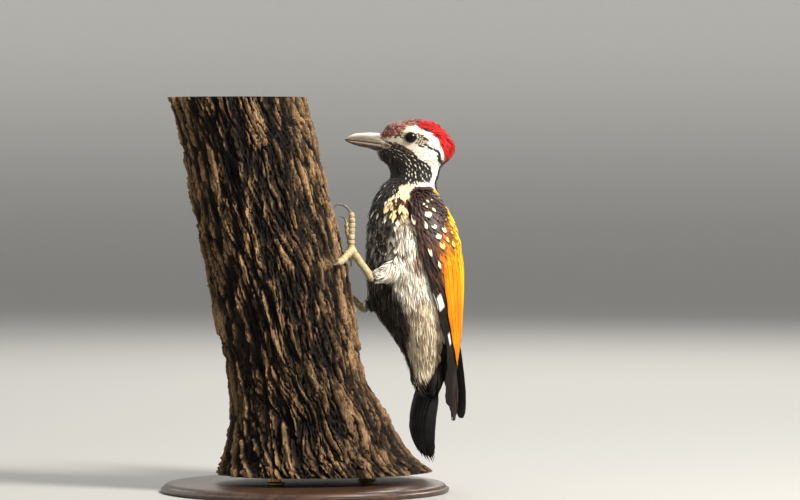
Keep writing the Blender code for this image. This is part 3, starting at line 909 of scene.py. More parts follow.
# how far round the body the painted shade on its front begins, by height
SHADED_FRONT_EDGE = ((72, 140), (80, 158), (92, 166), (99, 158), (105, 136), (113, 126), (125, 127), (135, 131),
              (143, 138))
NAPE_HALF_WIDTH = 4.6


def head_place(points):
    """Ahead of, to the left of and above the middle between the eyes."""
    apart = points - HEAD_MIDDLE
    return apart @ HEAD_AHEAD, apart @ HEAD_LEFT, apart[:, 2]


BODY_AXIS = middle_line(["trunk", "neck"])


def axis_at(heights):
    """Where the body's upright middle line stands along X, by height."""
    return np.interp(heights, *BODY_AXIS)


def body_place(points):
    """Degrees round the body from the back (the same on both sides, 180 at the belly), and the height."""
    side = np.degrees(np.arctan2(np.abs(points[:, 1]), points[:, 0] - axis_at(points[:, 2])))
    return side, points[:, 2]


class Look:
    """What each feather is painted with: ground and mark colours, and the mark's shape on the vane.

    spot is a blot's place along the vane, its half length and its half width; trim is the width of a border,
    the number of bars and the strength of the shaft line; all are shares of the vane.
    """

    def __init__(self, count):
        self.ground = np.zeros((count, 3))
        self.mark = np.zeros((count, 3))
        self.spot = np.tile((0.7, 0.0, 0.0), (count, 1))
        self.trim = np.zeros((count, 3))

    def set(self, where, ground, mark=None, spot=None, trim=None):
        self.ground[where] = ground
        self.mark[where] = ground if mark is None else mark
        self.spot[where] = (0.7, 0.0, 0.0) if spot is None else spot
        self.trim[where] = (0.0, 0.0, 0.0) if trim is None else trim


def scattered(points, where, gap, random):
    """A choice among some of the points that lie at least a gap apart."""
    picked = np.zeros(len(points), bool)
    if where.any():
        count = int(where.sum())
        picked[where] = thinned(points[where], random.permutation(count), np.full(count, gap))
    return picked


def head_look(points, look, where, choices, random):
    """Paints the feathers of the head and neck by where they show."""
    ahead, side, above = head_place(points)
    ragged = 0.55 * swirl(points, 1.6, 41, axes=2)
    places = np.stack((ahead, above), axis=1) + ragged
    chance, chance_2 = random.random(len(points)), random.random(len(points))
    white, black, brown = chosen(choices.white), chosen(choices.black), chosen(choices.brown)
    red, forecrown = chosen(choices.crest), chosen(choices.forecrown)
    creamy = ease(ahead, -14, 6) * (0.55 + 0.45 * chance)
    soft_white = blend(white, white * np.array((0.97, 0.93, 0.84)), creamy)
    look.set(where, soft_white[where])

    nape = where & (np.abs(side) < NAPE_HALF_WIDTH + ragged[:, 0]) & (ahead < -12)
    look.set(nape, black * 1.05)
    breadth = 0.36 + 0.03 * (-13 - ahead).clip(0, 8)
    look.set(where & (distance_to(places, EYE_LINE) < breadth) & (ahead < -12.5), black * 1.2)

    throat = where & inside(places, THROAT)
    look.set(throat, blend(black, black * 1.35, chance)[throat])
    rim = distance_to(places, THROAT_TOP)
    malar = throat & (rim < 3.2) & (ahead > -3) & (chance < 0.5)
    look.set(malar, (brown * 1.15)[None, :] * (0.8 + 0.5 * chance_2[malar, None]), mark=black * 1.3,
             spot=(0.35, 0.5, 0.35))
    chin = ((ahead > 3.5) & (above < -15.5)) | ((ahead > 11) & (above < -10))
    room = throat & (rim > 1.5) & (ahead < 19) & ~chin
    spotted = scattered(points, room, 2.1, random)
    fine = spotted & (ahead > 2 - 0.5 * (above + 14))
    look.set(spotted, black, mark=white * np.array((1.0, 0.98, 0.93)), spot=(0.6, 0.42, 0.5))
    look.spot[fine] = (0.6, 0.44, 0.3)
    grey = fine & (chance < 0.6)
    look.mark[grey] = white * np.array((0.7, 0.63, 0.54))

    patch = where & inside(places, EYE_PATCH) & (np.abs(side) > 6)
    eye_far = from_eyes(points)
    arcs = np.sin(2 * np.pi * (eye_far / 1.5 + 0.25 * cloud(points, 1.5, 45)))
    look.set(patch, TAN * 1.04)
    look.set(patch & ((arcs > 0.0) | (eye_far < 5.6)), brown * 0.5)
    look.set(patch & (arcs < -0.5) & (chance_2 < 0.5), white * 0.95)
    lores = where & inside(places, LORES) & (np.abs(side) > 5) & (chance < 0.7)
    look.set(lores, np.where(chance_2[lores, None] < 0.45, TAN * 1.05, brown * 0.62))
    ring = where & (eye_far < 5.0) & (np.abs(side) > 6)
    look.set(ring, brown * (0.4 + 0.35 * chance[ring, None]))

    crown = where & inside(places, CROWN)
    pale, deep = forecrown * np.array((1.36, 1.86, 1.9)), forecrown * np.array((0.56, 0.46, 0.46))
    dull = np.where(chance[:, None] < 0.26, pale, np.where(chance[:, None] < 0.72, forecrown, deep))
    bright = red * (0.78 + 0.3 * chance_2[:, None])
    turn = ease(-(ahead + 1.6 * cloud(points, 3.0, 43)), -RED_FROM, -RED_FULL)
    border = distance_to(places, CROWN_BORDER)
    fleck = (chance_2 < 0.4) & (turn < 0.8)
    look.set(crown, blend(dull, bright, turn)[crown])
    look.set(crown & fleck, blend(dull, bright, turn)[crown & fleck], mark=deep * 0.7, spot=(0.55, 0.5, 0.3))
    under = crown & (border < 0.5) & (ahead < -7.5) & (ahead > -13)
    look.set(under, black * 1.3)


def body_look(points, look, where, choices, random):
    """Paints the feathers of the body by where they show."""
    turn, height = body_place(points)
    turn = turn + 3.0 * cloud(points, 7, 51) + 1.6 * cloud(points, 2.6, 52)
    height = height + 2.0 * cloud(points, 6, 53)
    chance, chance_2 = random.random(len(points)), random.random(len(points))
    flank, cream = chosen(choices.flank), chosen(choices.cream)
    black, brown = chosen(choices.black), chosen(choices.brown)

    # soft parts: pale, with faint streaks above, diffuse brown bars below and painted shade over the front
    tone = 0.98 + 0.07 * chance + 0.05 * cloud(points, 10, 54)
    pale = flank * tone[:, None]
    streak = ease(cloud(drawn_out(points, 0.2), 2.8, 55) + 0.3 * (chance_2 - 0.5), 0.15, 0.5)
    pale = blend(pale, brown * 1.1, streak * 0.72 * ease(height, 118, 136))
    mottle = layered_cloud(points * np.array((1.0, 1.0, 2.0)), 7.0, 56) + 0.2 * (chance_2 - 0.5)
    low = ease(-height, -134, -120)
    pale = blend(pale, pale * np.array((1.0, 0.96, 0.89)), low)
    pale = blend(pale, brown * 1.15, ease(mottle, 0.06, 0.46) * low * 0.72)
    # painted shade: the belly's front, turned from the key light, is laid dark brown to near black, and below
    # about 76 mm the same dark is laid all round
    edge = np.interp(height, *zip(*SHADED_FRONT_EDGE))
    front = ease(turn, edge - 9, edge + 9) * ease(-height, -145, -136)
    painted_shade = brown * (0.15 + 0.27 * chance_2[:, None])
    front = np.maximum(front, 0.85 * ease(-height, -79, -73))
    pale = blend(pale, painted_shade, front * (0.84 + 0.15 * (chance < 0.7)))
    look.set(where, pale[where])
    # painted shade: the flank beside the wing is greyed
    grey = where & (turn < 113) & (turn > 60) & (height > 167)
    look.set(grey, pale[grey] * np.array((0.84, 0.84, 0.82)))
    # white with a few brown marks in front of it
    wisp = ease(cloud(drawn_out(points, 0.25), 2.2, 59) + 0.3 * (chance - 0.5), 0.3, 0.5)
    marked = where & (turn > 100) & (turn < 134) & (height > 158) & (height < 190)
    look.set(marked, blend(pale, brown * 0.6, wisp * 0.85)[marked])
    # breast: blackish, each feather edged grey-white at its sides
    breast = where & (turn > 144) & (height > 141) & (height < 190)
    dark = black * (1.1 + 0.7 * chance_2[:, None])
    edge = blend(flank * 0.4, flank * 0.8, chance_2)
    look.set(breast, dark[breast], mark=edge[breast], trim=(0.26, 0, 0))
    grey = cloud(drawn_out(points, 0.25), 1.8, 61) + 0.7 * (chance - 0.5)
    plain = breast & (grey > 0.2) & (height > 151)
    look.set(plain, edge[plain] * 0.9)
    between = where & (turn > 134) & (turn <= 144) & (height > 141) & (height < 190)
    look.set(between, blend(pale * 0.62, dark, (chance < 0.4) * 0.75)[between])
    # upper breast: black with long white drops
    upper = where & (turn > 112) & (height >= 185)
    look.set(upper, dark[upper] * 0.8)
    # cream with rusty and black marks
    rusty = where & (turn > 106) & (turn < 152) & (height > 184) & (height < 200)
    look.set(rusty, cream * np.array((0.98, 0.96, 0.92)))
    rust = rusty & (cloud(drawn_out(points, 0.5), 2.6, 60) + 0.5 * (chance - 0.5) > 0.02)
    look.set(rust, blend(black * 1.3, brown * np.array((0.95, 0.6, 0.38)), chance_2)[rust])
    patch = where & (turn > 94) & (turn < 132) & (height > 197) & (height < 212)
    look.set(patch, cream * 1.02)
    band = where & (turn > 84) & (turn < 140) & (height > 208.5)
    look.set(band, COLLAR_WHITE * 0.99)
    drops = scattered(points, where & (turn > 136) & (height > 183) & ~band, 5.0, random)
    look.set(drops, black, mark=np.minimum(flank * 1.02, 255), spot=(0.56, 0.5, 0.5))
    # back: black nape, golden mantle, black rump
    back = where & (turn < 62)
    mantle = back & (height < 203) & (height > 150)
    look.set(back, black * 1.1)
    look.set(mantle, MANTLE_GOLD * (0.85 + 0.25 * chance_2[mantle, None]))


def feather_look(points, choices, seed):
    """The look of feathers that show at the given points of the head, neck or body."""
    random = draws(seed)
    look = Look(len(points))
    above = head_place(points)[2]
    collar = -32.5 + 0.9 * cloud(points, 2.5, 44)
    turn = body_place(points)[0]
    head = (above > collar) | ((above > collar - 5.5) & (turn < 96))
    body_look(points, look, ~head, choices, random)
    head_look(points, look, head, choices, random)
    return look


# ---------------------------------------------------------------- skin

FLESH = ("trunk", "neck", "head", "thigh_left", "thigh_right")
EYE_HALF_LENGTH, EYE_HALF_HEIGHT = 3.75, 3.35  # of the opening between the lids
LID_PROUD = 0.35


def coat_depth(points):
    """How far the skin lies under the feather tips."""
    ahead, _, above = head_place(points)
    depth = 2.7 - 1.2 * ease(above, -52, -34)  # body to neck
    depth -= 0.75 * ease(above, -30, -14)  # face
    depth += 0.75 * ease(above + 0.3 * -ahead, 4, 12)  # crown
    depth += 0.9 * ease(-ahead, 14, 24) * ease(above, -20, -8)  # crest
    depth -= 0.45 * ease(-from_eyes(points), -12, -6) * ease(above, -10, -3)
    return np.maximum(depth, 0.35)


def eye_frame(side):
    """Axes at one eye: towards the bill, up, and out of the head."""
    out = unit(side * HEAD_LEFT + 0.10 * HEAD_AHEAD + 0.03 * UP)
    ahead = unit(HEAD_AHEAD - out * (HEAD_AHEAD @ out))
    up = np.cross(out, ahead)
    return ahead, up if up[2] > 0 else -up, out


def eye_ring(apart, side, wider=0.0):
    """Shares of the way from the eye's middle to the opening's edge, and the distance out of the head."""
    ahead, up, out = eye_frame(side)
    across, rise = apart @ ahead / (EYE_HALF_LENGTH + wider), apart @ up / (EYE_HALF_HEIGHT + wider)
    return np.sqrt(across**2 + rise**2), apart @ out


def wrap_eyes(points):
    """Draws the skin over each eyeball as lids, and leaves the opening between them free."""
    for centre, side in ((EYE_LEFT, 1), (EYE_RIGHT, -1)):
        apart = points - centre
        reach = np.linalg.norm(apart, axis=1)
        ring, out = eye_ring(apart, side)
        opening = ring < 1.0
        lid = EYE_RADIUS + LID_PROUD * ease(ring, 0.95, 1.12)
        wanted = np.where(opening, EYE_RADIUS - 1.1 * ease(-ring, -1.0, -0.9), lid)
        onto = unit(apart) * wanted[:, None]
        drawn = blend(apart, onto, 0.8 * ease(-ring, -1.75, -1.1))
        moved = np.where((opening | (reach < wanted))[:, None], onto, drawn)
        over = (out > -0.5) & (reach < EYE_RADIUS + 3.0) & (ring < 1.75)
        points = np.where(over[:, None], centre + moved, points)
    return points


class WOODPECKER_OT_skin(Operator):
    """Makes the one skin that lies under all of the plumage"""

    bl_idname = "woodpecker.skin"
    bl_label = "Skin"

    def execute(self, context):
        choices = context.scene.woodpecker_plumage
        skin = copy_of(FLESH, "skin", grow=0.3)
        with editing(skin.data) as build:
            for centre in (EYE_LEFT, EYE_RIGHT):  # the sockets are filled, and opened again round the lids
                place = Matrix.Translation((centre - unit(centre - HEAD_MIDDLE) * 1.2) * MM)
                radius = (EYE_RADIUS + 0.9) * MM
                bmesh.ops.create_icosphere(build, subdivisions=3, radius=radius, matrix=place)
        fuse(skin, 1.15, smoothing=6)
        with editing(skin.data) as build:  # finer faces round the eyes
            centres = np.array([face.calc_center_median() for face in build.faces]) / MM
            close = np.flatnonzero(from_eyes(centres) < 9)
            build.faces.ensure_lookup_table()
            edges = list({edge for number in close for edge in build.faces[number].edges})
            bmesh.ops.subdivide_edges(build, edges=edges, cuts=3, use_grid_fill=True)
            bmesh.ops.triangulate(build, faces=[face for face in build.faces if len(face.verts) > 4])
        points = points_of(skin)
        depth = coat_depth(points)
        points = points - normals_of(skin) * (depth + 0.3)[:, None]
        points = wrap_eyes(points)
        move_points(skin, points)
        look = feather_look(points + normals_of(skin) * depth[:, None], choices, 71)
        # the skin carries the plumage's colours at 0.9, with the painted shade on the belly's front and
        # beside the wing included
        paint(skin, "ground_colour", linear(look.ground * 0.9))
        material, tree, shader = new_material("skin under the plumage", 0.85, Specular_IOR_Level=0.3)
        mask, height = grain(tree, 1.2, 1.6)
        ground = stored(tree, "ground_colour", "Color")
        mottled = mixed(tree, times(tree, mask, 0.4), ground, (0.5, 0.46, 0.42), "MULTIPLY")
        tree.links.new(mottled, shader.inputs["Base Color"])
        bump(tree, shader, height, 0.5, 0.3)
        settle(skin, material, FLESH)
        return {"FINISHED"}


# ---------------------------------------------------------------- eyes


class EyeChoices(PropertyGroup):
    iris_colour: colour_choice("Iris", "Colour of the iris", (27, 7, 5))
    iris_rim_colour: colour_choice("Iris rim", "Colour at the outer edge of the iris", (14, 5, 4))
    lid_colour: colour_choice("Lids", "Colour of the bare rims of the lids", (46, 38, 32))
    pupil_size: length_choice("Pupil", "Radius of the pupil", 2.0)


class WOODPECKER_OT_eyes(Operator):
    """Makes the eyeballs and the bare rims of the lids"""

    bl_idname = "woodpecker.eyes"
    bl_label = "Eyes"

    def execute(self, context):
        choices = context.scene.woodpecker_eye
        eye_material, tree, shader = new_material("eye", 0.35, Coat_Weight=0.25, Coat_Roughness=0.02,
                                                  Specular_IOR_Level=0.1)
        apart = stored(tree, "from_gaze")
        iris = dye(choices.iris_colour)
        rays = put(tree, "TexNoise", {"Scale": 900.0, "Detail": 3.0}).outputs["Fac"]
        colour = mixed(tree, remap(tree, rays, 0.35, 0.65), iris * 0.6, iris * 1.5)
        pupil = choices.pupil_size / MM
        colour = mixed(tree, remap(tree, apart, pupil - 0.12, pupil + 0.12), (0.002, 0.0015, 0.0015), colour)
        colour = mixed(tree, remap(tree, apart, 2.7, 3.5), colour, dye(choices.iris_rim_colour))
        tree.links.new(colour, shader.inputs["Base Color"])
        lid_material, tree, shader = new_material("lid rim", 0.5)
        mask, height = grain(tree, 0.5, 1.4)
        tint = dye(choices.lid_colour)
        tree.links.new(mixed(tree, mask, tint * 0.7, tint * 1.4), shader.inputs["Base Color"])
        bump(tree, shader, height, 0.5, 0.15)

        for name, centre, side in (("left", EYE_LEFT, 1), ("right", EYE_RIGHT, -1)):
            ahead, up, out = eye_frame(side)
            turns = np.linspace(0, 2 * np.pi, 64, endpoint=False)[:, None]
            level = np.cos(turns) * ahead + np.sin(turns) * up
            falls = np.linspace(0, np.pi, 42)[1:-1]
            radius = EYE_RADIUS - 0.06
            rings = [centre + radius * (np.cos(fall) * out + np.sin(fall) * level) for fall in falls]
            eye = turned_solid("eyeball_" + name, rings, centre + np.stack((out, -out)) * radius)
            face_outward(eye)
            apart = points_of(eye) - centre
            from_axis = np.linalg.norm(apart - (apart @ out)[:, None] * out, axis=1)
            paint(eye, "from_gaze", from_axis + 9.0 * (apart @ out < 0))
            settle(eye, eye_material, ("eye_" + name,))

            # the bare rim: a low rounded band on the opening's edge, with a slight corner at each end
            turns = np.linspace(0, 2 * np.pi, 72, endpoint=False)
            corner = 1 + 0.07 * np.abs(np.cos(turns)) ** 14
            level = np.outer(EYE_HALF_LENGTH * np.cos(turns) * corner, ahead)
            level += np.outer(EYE_HALF_HEIGHT * np.sin(turns), up)
            rise = np.sqrt(np.maximum((EYE_RADIUS + 0.12) ** 2 - np.sum(level**2, axis=1), 0.1))
            foot = level + rise[:, None] * out
            away = unit(foot)
            inward = unit(-level)
            inward = unit(inward - away * np.sum(inward * away, axis=1)[:, None])
            sides = np.linspace(0, 2 * np.pi, 10, endpoint=False)[:, None]
            band = (centre + foot)[:, None] + 0.42 * np.cos(sides) * inward[:, None]
            band = (band + 0.3 * np.sin(sides) * away[:, None]).reshape(-1, 3)
            lids = add_mesh("lids_" + name, band, grid_quads(73, 10, wraps=True) % len(band))
            face_outward(lids)
            settle(lids, lid_material)
        return {"FINISHED"}


# ---------------------------------------------------------------- bill


class HornChoices(PropertyGroup):
    # the culmen colour is a painted highlight along the top of the bill; the bill shade is painted shade
    # along the lower edge, and also colours the gape's seam
    culmen_highlight_colour: colour_choice("Culmen", "Colour along the top of the bill", (204, 194, 182))
    bill_colour: colour_choice("Bill", "Colour of the bill's sides", (122, 107, 91))
    bill_seam_and_shade_colour: colour_choice("Bill shade", "Colour of the lower edge and the gape", (40, 32, 27))
    leg_colour: colour_choice("Legs", "Colour of the shanks and toes", (216, 200, 155))
    leg_dark_colour: colour_choice("Leg creases", "Colour between the scales", (120, 98, 66))
    claw_colour: colour_choice("Claws", "Colour of the claws", (84, 76, 66))


# Along the bill from its tip: the line where the halves meet, and each half's height over or under it.
BILL_GAPE = ((0, 0.0), (8, -1.0), (16, -1.9), (24, -3.0), (31, -4.4))
BILL_TOP = ((0, 0.3), (3, 2.9), (8, 5.0), (16, 6.3), (24, 7.1), (31, 7.8))
BILL_BOTTOM = ((0, 0.4), (3, 1.9), (8, 3.2), (16, 3.8), (24, 3.9), (31, 4.0))


class WOODPECKER_OT_bill(Operator):
    """Makes the two halves of the bill, with their ridge, groove and nostrils"""

    bl_idname = "woodpecker.bill"
    bl_label = "Bill"

    def execute(self, context):
        choices = context.scene.woodpecker_horn
        upper = node_points("bill_upper")
        tip = upper[np.argmax((upper - HEAD_MIDDLE) @ HEAD_AHEAD)]
        material, tree, shader = new_material("bill horn", 0.36, Specular_IOR_Level=0.5)
        light, shade = stored(tree, "light"), stored(tree, "shade")
        mask, _ = grain(tree, 0.7, 1.8)
        place = put(tree, "NewGeometry").outputs["Position"]
        along_bill = (0, 0, math.atan2(-HEAD_AHEAD[1], -HEAD_AHEAD[0]))
        turned = {"Vector": place, "Rotation": along_bill, "Scale": (1 / 120, 1 / 1500, 1 / 1500)}
        lines = noise(tree, put(tree, "Mapping", turned, vector_type="TEXTURE").outputs[0], 1.0, 3.0)
        side = dye(choices.bill_colour)
        colour = mixed(tree, remap(tree, lines, 0.3, 0.7), side * 0.72, side * 1.25)
        # painted highlight where light is high, painted shade where shade is high; the same dark also draws
        # the seam at the gape
        colour = mixed(tree, light, colour, dye(choices.culmen_highlight_colour))
        colour = mixed(tree, shade, colour, dye(choices.bill_seam_and_shade_colour))
        tree.links.new(colour, shader.inputs["Base Color"])
        tree.links.new(remap(tree, mask, 0.2, 0.8, 0.28, 0.46), shader.inputs["Roughness"])
        bump(tree, shader, lines, 0.35, 0.12)
        shapes = []
        for node, sign in (("bill_upper", 1), ("bill_lower", -1)):
            half = copy_of([node], node.replace("bill_", "bill_horn_"))
            fuse(half, 0.3, smoothing=5)
            points, normals = points_of(half), normals_of(half)
            apart = points - tip
            back = -(apart @ HEAD_AHEAD)
            side = (points - HEAD_MIDDLE) @ HEAD_LEFT
            rise = apart[:, 2]
            up = rise - np.interp(back, *zip(*BILL_GAPE))
            push = np.full(len(points), 0.14)
            if sign > 0:
                share = up / np.interp(back, *zip(*BILL_TOP))
                push += 0.32 * ridge_at(side, 1.3) * ease(share, 0.6, 0.9) * ease(back, 2, 8)
                groove = ridge_at(share - 0.62, 0.16) * ease(back, 9, 17)
                push += 0.2 * ridge_at(share - 0.42, 0.12) * ease(back, 7, 14) - 0.38 * groove
                nostril = np.sqrt(((back - 26.2) / 2.0) ** 2 + ((share - 0.56) / 0.10) ** 2)
                push -= 0.9 * ease(-nostril, -1.15, -0.5)
                # painted highlight along the culmen, weaker towards the root; painted shade below the gape
                # line, in the nostril and in the groove
                light = ease(share + 0.1 * cloud(points, 2.0, 81), 0.45, 0.95)
                at_root = ease(back, 18, 25)
                light = np.maximum(light * (1 - 0.5 * at_root), 0.4 * at_root * ease(share, 0.1, 0.6))
                shade = np.maximum(0.85 * ease(-share, -0.22, 0.0), ease(-nostril, -1.3, -0.7))
                shade = np.maximum(shade, 0.35 * groove)
            else:
                share = -up / np.interp(back, *zip(*BILL_BOTTOM))
                push -= 0.16 * ridge_at(share - 0.55, 0.2) * ease(back, 6, 12)
                # a faint painted highlight line along the lower half, and painted shade over its underside
                # and at the gape
                light = 0.25 * ridge_at(share - 0.3, 0.3)
                shade = ease(share + 0.12 * cloud(points, 2.0, 82), 0.25, 0.95)
                shade = np.maximum(shade, 0.8 * ease(-share, -0.12, 0.0))
            push += 0.05 * cloud(np.stack((back * 0.25, side, rise), axis=1), 0.8, 83)
            move_points(half, points + normals * push[:, None])
            shapes.append((tree_of(half), points_of(half), light, shade))
            move_points(half, points_of(half) - normals * 1.6 * ease(back, 24.6, 26.6)[:, None])
            paint(half, "light", light)
            paint(half, "shade", shade)
            settle(half, material, (node,))

        # the horn's root, which runs back over the face to the gape; the rest of it lies inside the head
        root = copy_of(["head", "bill_upper", "bill_lower"], "bill_root")
        fuse(root, 0.5, smoothing=5)
        for reach, way in ((7.0, -HEAD_AHEAD), (29.0, HEAD_AHEAD)):
            cut_away(root, HEAD_MIDDLE + HEAD_AHEAD * reach, way)
        points, normals = points_of(root), normals_of(root)
        ahead, _, above = head_place(points)
        flat = np.stack((ahead, above), axis=1)
        within = np.where(inside(flat, HORN_BACK), 1.0, -1.0) * distance_to(flat, HORN_BACK)
        shown = ease(within, -0.5, 1.1)
        line = np.interp(ahead, (12, 14, 24, 30), (-5.8, -5.8, -5.6, -5.4))
        seam = ridge_at(above - line, 0.55)
        push = -2.6 * (1 - shown) - 0.06 * shown - 0.2 * seam * shown
        own = points + normals * push[:, None]
        # painted highlight above the gape line; the seam is drawn as a dark line and painted shade lies below
        # it
        light = 0.4 * ease(above - line, 0.6, 4.0) * ease(ahead, 13, 18)
        shade = np.maximum(0.9 * seam, 0.75 * ease(line - above, 1.0, 3.8))
        # towards the front it turns into the surface of the two halves and then dips under them
        found = [nearest(shape[0], points) for shape in shapes]
        gap = [np.linalg.norm(points - spots, axis=1) for spots, _ in found]
        lower = (gap[1] < gap[0])[:, None]
        onto = np.where(lower, found[1][0], found[0][0])
        facing = np.where(lower, found[1][1], found[0][1])
        onto = onto + facing * (0.05 - 1.4 * ease(ahead, 23.4, 25.2))[:, None]
        near = (ease(ahead, 19.0, 22.0) * shown)[:, None]
        move_points(root, own * (1 - near) + onto * near)
        spots, lights, shades = (np.concatenate([shape[part] for shape in shapes]) for part in (1, 2, 3))
        closest = point_tree(spots)
        same = np.array([closest.find(point)[1] for point in points])
        near = ease(ahead, 17.5, 22.0)
        paint(root, "light", light + (lights[same] - light) * near)
        paint(root, "shade", shade + (shades[same] - shade) * near)
        settle(root, material)
        return {"FINISHED"}


# ---------------------------------------------------------------- plumage

UV_PATCH = 0.003  # the side of each feather's patch on the coat's map
# Width along a firm feather, a loose lock and the feathers on the shoulder's edge, as shares of the widest.
VANE_SHAPE = ((0, 0.3), (0.2, 0.66), (0.5, 0.98), (0.75, 1.0), (0.92, 0.72), (1, 0.34))
LOCK_SHAPE = ((0, 0.5), (0.25, 0.9), (0.5, 1.0), (0.75, 0.7), (0.9, 0.38), (1, 0.08))
EDGE_SHAPE = ((0, 0.75), (0.2, 1.0), (0.7, 1.0), (0.9, 0.7), (1, 0.25))


def scatter(piece, spacing, seed, keep=None):
    """Root points spread evenly over a piece's surface, as far apart as spacing(points) asks."""
    random = draws(seed)
    spots = points_of(piece)[corners_of(piece.data)]
    if keep is not None:
        spots = spots[keep(spots.mean(axis=1))]
    area = np.linalg.norm(np.cross(spots[:, 1] - spots[:, 0], spots[:, 2] - spots[:, 0]), axis=1) / 2
    apart = spacing(spots.mean(axis=1))
    weight = area / apart**2
    count = int(weight.sum() * 3.2)
    pick = random.choice(len(spots), count, p=weight / weight.sum())
    a, b = random.random((2, count))
    flip = a + b > 1
    a, b = np.where(flip, 1 - a, a), np.where(flip, 1 - b, b)
    first, second, third = np.moveaxis(spots[pick], 1, 0)
    points = first + a[:, None] * (second - first) + b[:, None] * (third - first)
    return points[thinned(points, range(count), spacing(points))]


def walk(tree, roots, flow, length, rows):
    """Follows the lie of the coat from each root: points on the skin, its normals and the way along it."""
    spots, normals = nearest(tree, roots)
    steps = []
    for _ in range(rows):
        way = flow(spots)
        way = unit(way - normals * np.sum(way * normals, axis=1, keepdims=True))
        steps.append((spots, normals, way))
        spots, fresh = nearest(tree, spots + way * (length / (rows - 1))[:, None])
        normals = unit(normals * 0.35 + fresh * 0.65)
    return (np.stack(part, axis=1) for part in zip(*steps))


def ring_quads(count, rows, ring):
    """Faces of many closed vanes at once: the sides as quads, and the two ends."""
    columns = ring // 2 + 1
    quads, tris = [grid_quads(rows, ring, wraps=True)], []
    for start, turned in ((0, True), ((rows - 1) * ring, False)):
        for j in range(columns - 1):
            under, beyond = (ring - j) % ring, (ring - j - 1) % ring
            if j == 0:
                face = (0, 1, ring - 1)
            elif j == columns - 2:
                face = (j, j + 1, under)
            else:
                face = (j, j + 1, beyond, under)
            face = [start + corner for corner in (face if turned else face[::-1])]
            (tris if len(face) == 3 else quads).append(np.array([face]))
    quads, tris = np.concatenate(quads), np.concatenate(tris)
    shift = (np.arange(count) * rows * ring)[:, None, None]
    return (quads[None] + shift).reshape(-1, 4), (tris[None] + shift).reshape(-1, 3)


def unrolled(roots, axis_x, low, high):
    """Places of the roots on the skin's unwrap: round the body, and up it; both from 0 to 1."""
    round_ = np.arctan2(roots[:, 1], roots[:, 0] - axis_x) / (2 * np.pi) + 0.5
    up = (roots[:, 2] - low) / max(high - low, 1e-6)
    return np.stack((0.01 + 0.975 * round_, 0.01 + 0.975 * np.clip(up, 0, 1)), axis=1)


def add_vanes(name, trail, ups, ways, width, height, look, roots_map, columns, thick, fray, round_tip, camber,
              seed, shape=VANE_SHAPE):
    """Builds thin closed feathers along their trails and stores what their material reads.

    width and height are millimetres: the widest place, and how far each row stands off the skin.
    """
    random = draws(seed)
    count, rows, _ = trail.shape
    share = np.linspace(0, 1, rows)
    spread = np.linspace(-1, 1, columns)
    profile = np.interp(share, *zip(*shape))
    jag = random.uniform(-1, 1, (count, 1, columns)) * fray * share[None, :, None] ** 3
    reach = share[None, :, None] - round_tip * spread**2 * share[None, :, None] ** 2 + jag
    place = np.clip(reach, 0, 1) * (rows - 1)
    low = np.minimum(place.astype(int), rows - 2)
    part = place - low
    every = np.arange(count)[:, None, None]

    def along(rows_of, part):
        return rows_of[every, low] * (1 - part) + rows_of[every, low + 1] * part

    over = np.maximum(reach - 1, 0)[..., None]
    past = (trail[:, -1] - trail[:, -2])[:, None, None, :] * (rows - 1)
    spine = along(trail, part[..., None]) + over * past
    normal = unit(along(ups, part[..., None]))
    side = unit(np.cross(normal, along(ways, part[..., None])))
    half = width[:, None, None] * profile[None, :, None] / 2
    ragged = 1 + random.uniform(-1, 1, (count, rows, columns)) * fray * 0.6
    across = spread * half * ragged
    lift = along(height, part) - camber * spread**2 * half
    centre = spine + side * across[..., None] + normal * lift[..., None]
    body = thick * (0.45 + 0.55 * (1 - spread**2)) * (1.0 - 0.55 * share[None, :, None])
    aside = np.broadcast_to(spread, reach.shape)
    return close_vanes(name, centre, normal, body, aside, reach, look, roots_map, seed)


def close_vanes(name, centre, normal, body, aside, along, look, roots_map, seed, sharp_over=55):
    """Makes closed thin feathers from grids of middle points; body is the thickness at each point."""
    random = draws(seed + 7)
    count, rows, columns, _ = centre.shape
    half = np.broadcast_to(body, (count, rows, columns))[..., None] / 2
    top, under = centre + normal * half, centre - normal * half
    ring = 2 * columns - 2
    points = np.concatenate((top, under[:, :, -2:0:-1]), axis=2).reshape(-1, 3)
    quads, tris = ring_quads(count, rows, ring)
    piece = add_mesh(name, points, quads[:, ::-1], tris[:, ::-1], sharp_over=sharp_over)
    each = rows * ring
    along = np.clip(np.concatenate((along, along[:, :, -2:0:-1]), axis=2), 0, 1.2).reshape(-1)
    aside = np.concatenate((aside, aside[:, :, -2:0:-1]), axis=2).reshape(-1)
    paint(piece, "vane", np.stack((aside, along, np.zeros(len(along))), axis=1))
    paint(piece, "ground_colour", linear(np.clip(look.ground, 0, 255)).repeat(each, axis=0))
    paint(piece, "mark_colour", linear(np.clip(look.mark, 0, 255)).repeat(each, axis=0))
    paint(piece, "spot", look.spot.repeat(each, axis=0))
    paint(piece, "trim", look.trim.repeat(each, axis=0))
    paint(piece, "tone", random.random(count).repeat(each))
    map_feathers(piece, roots_map, rows, ring)
    return piece


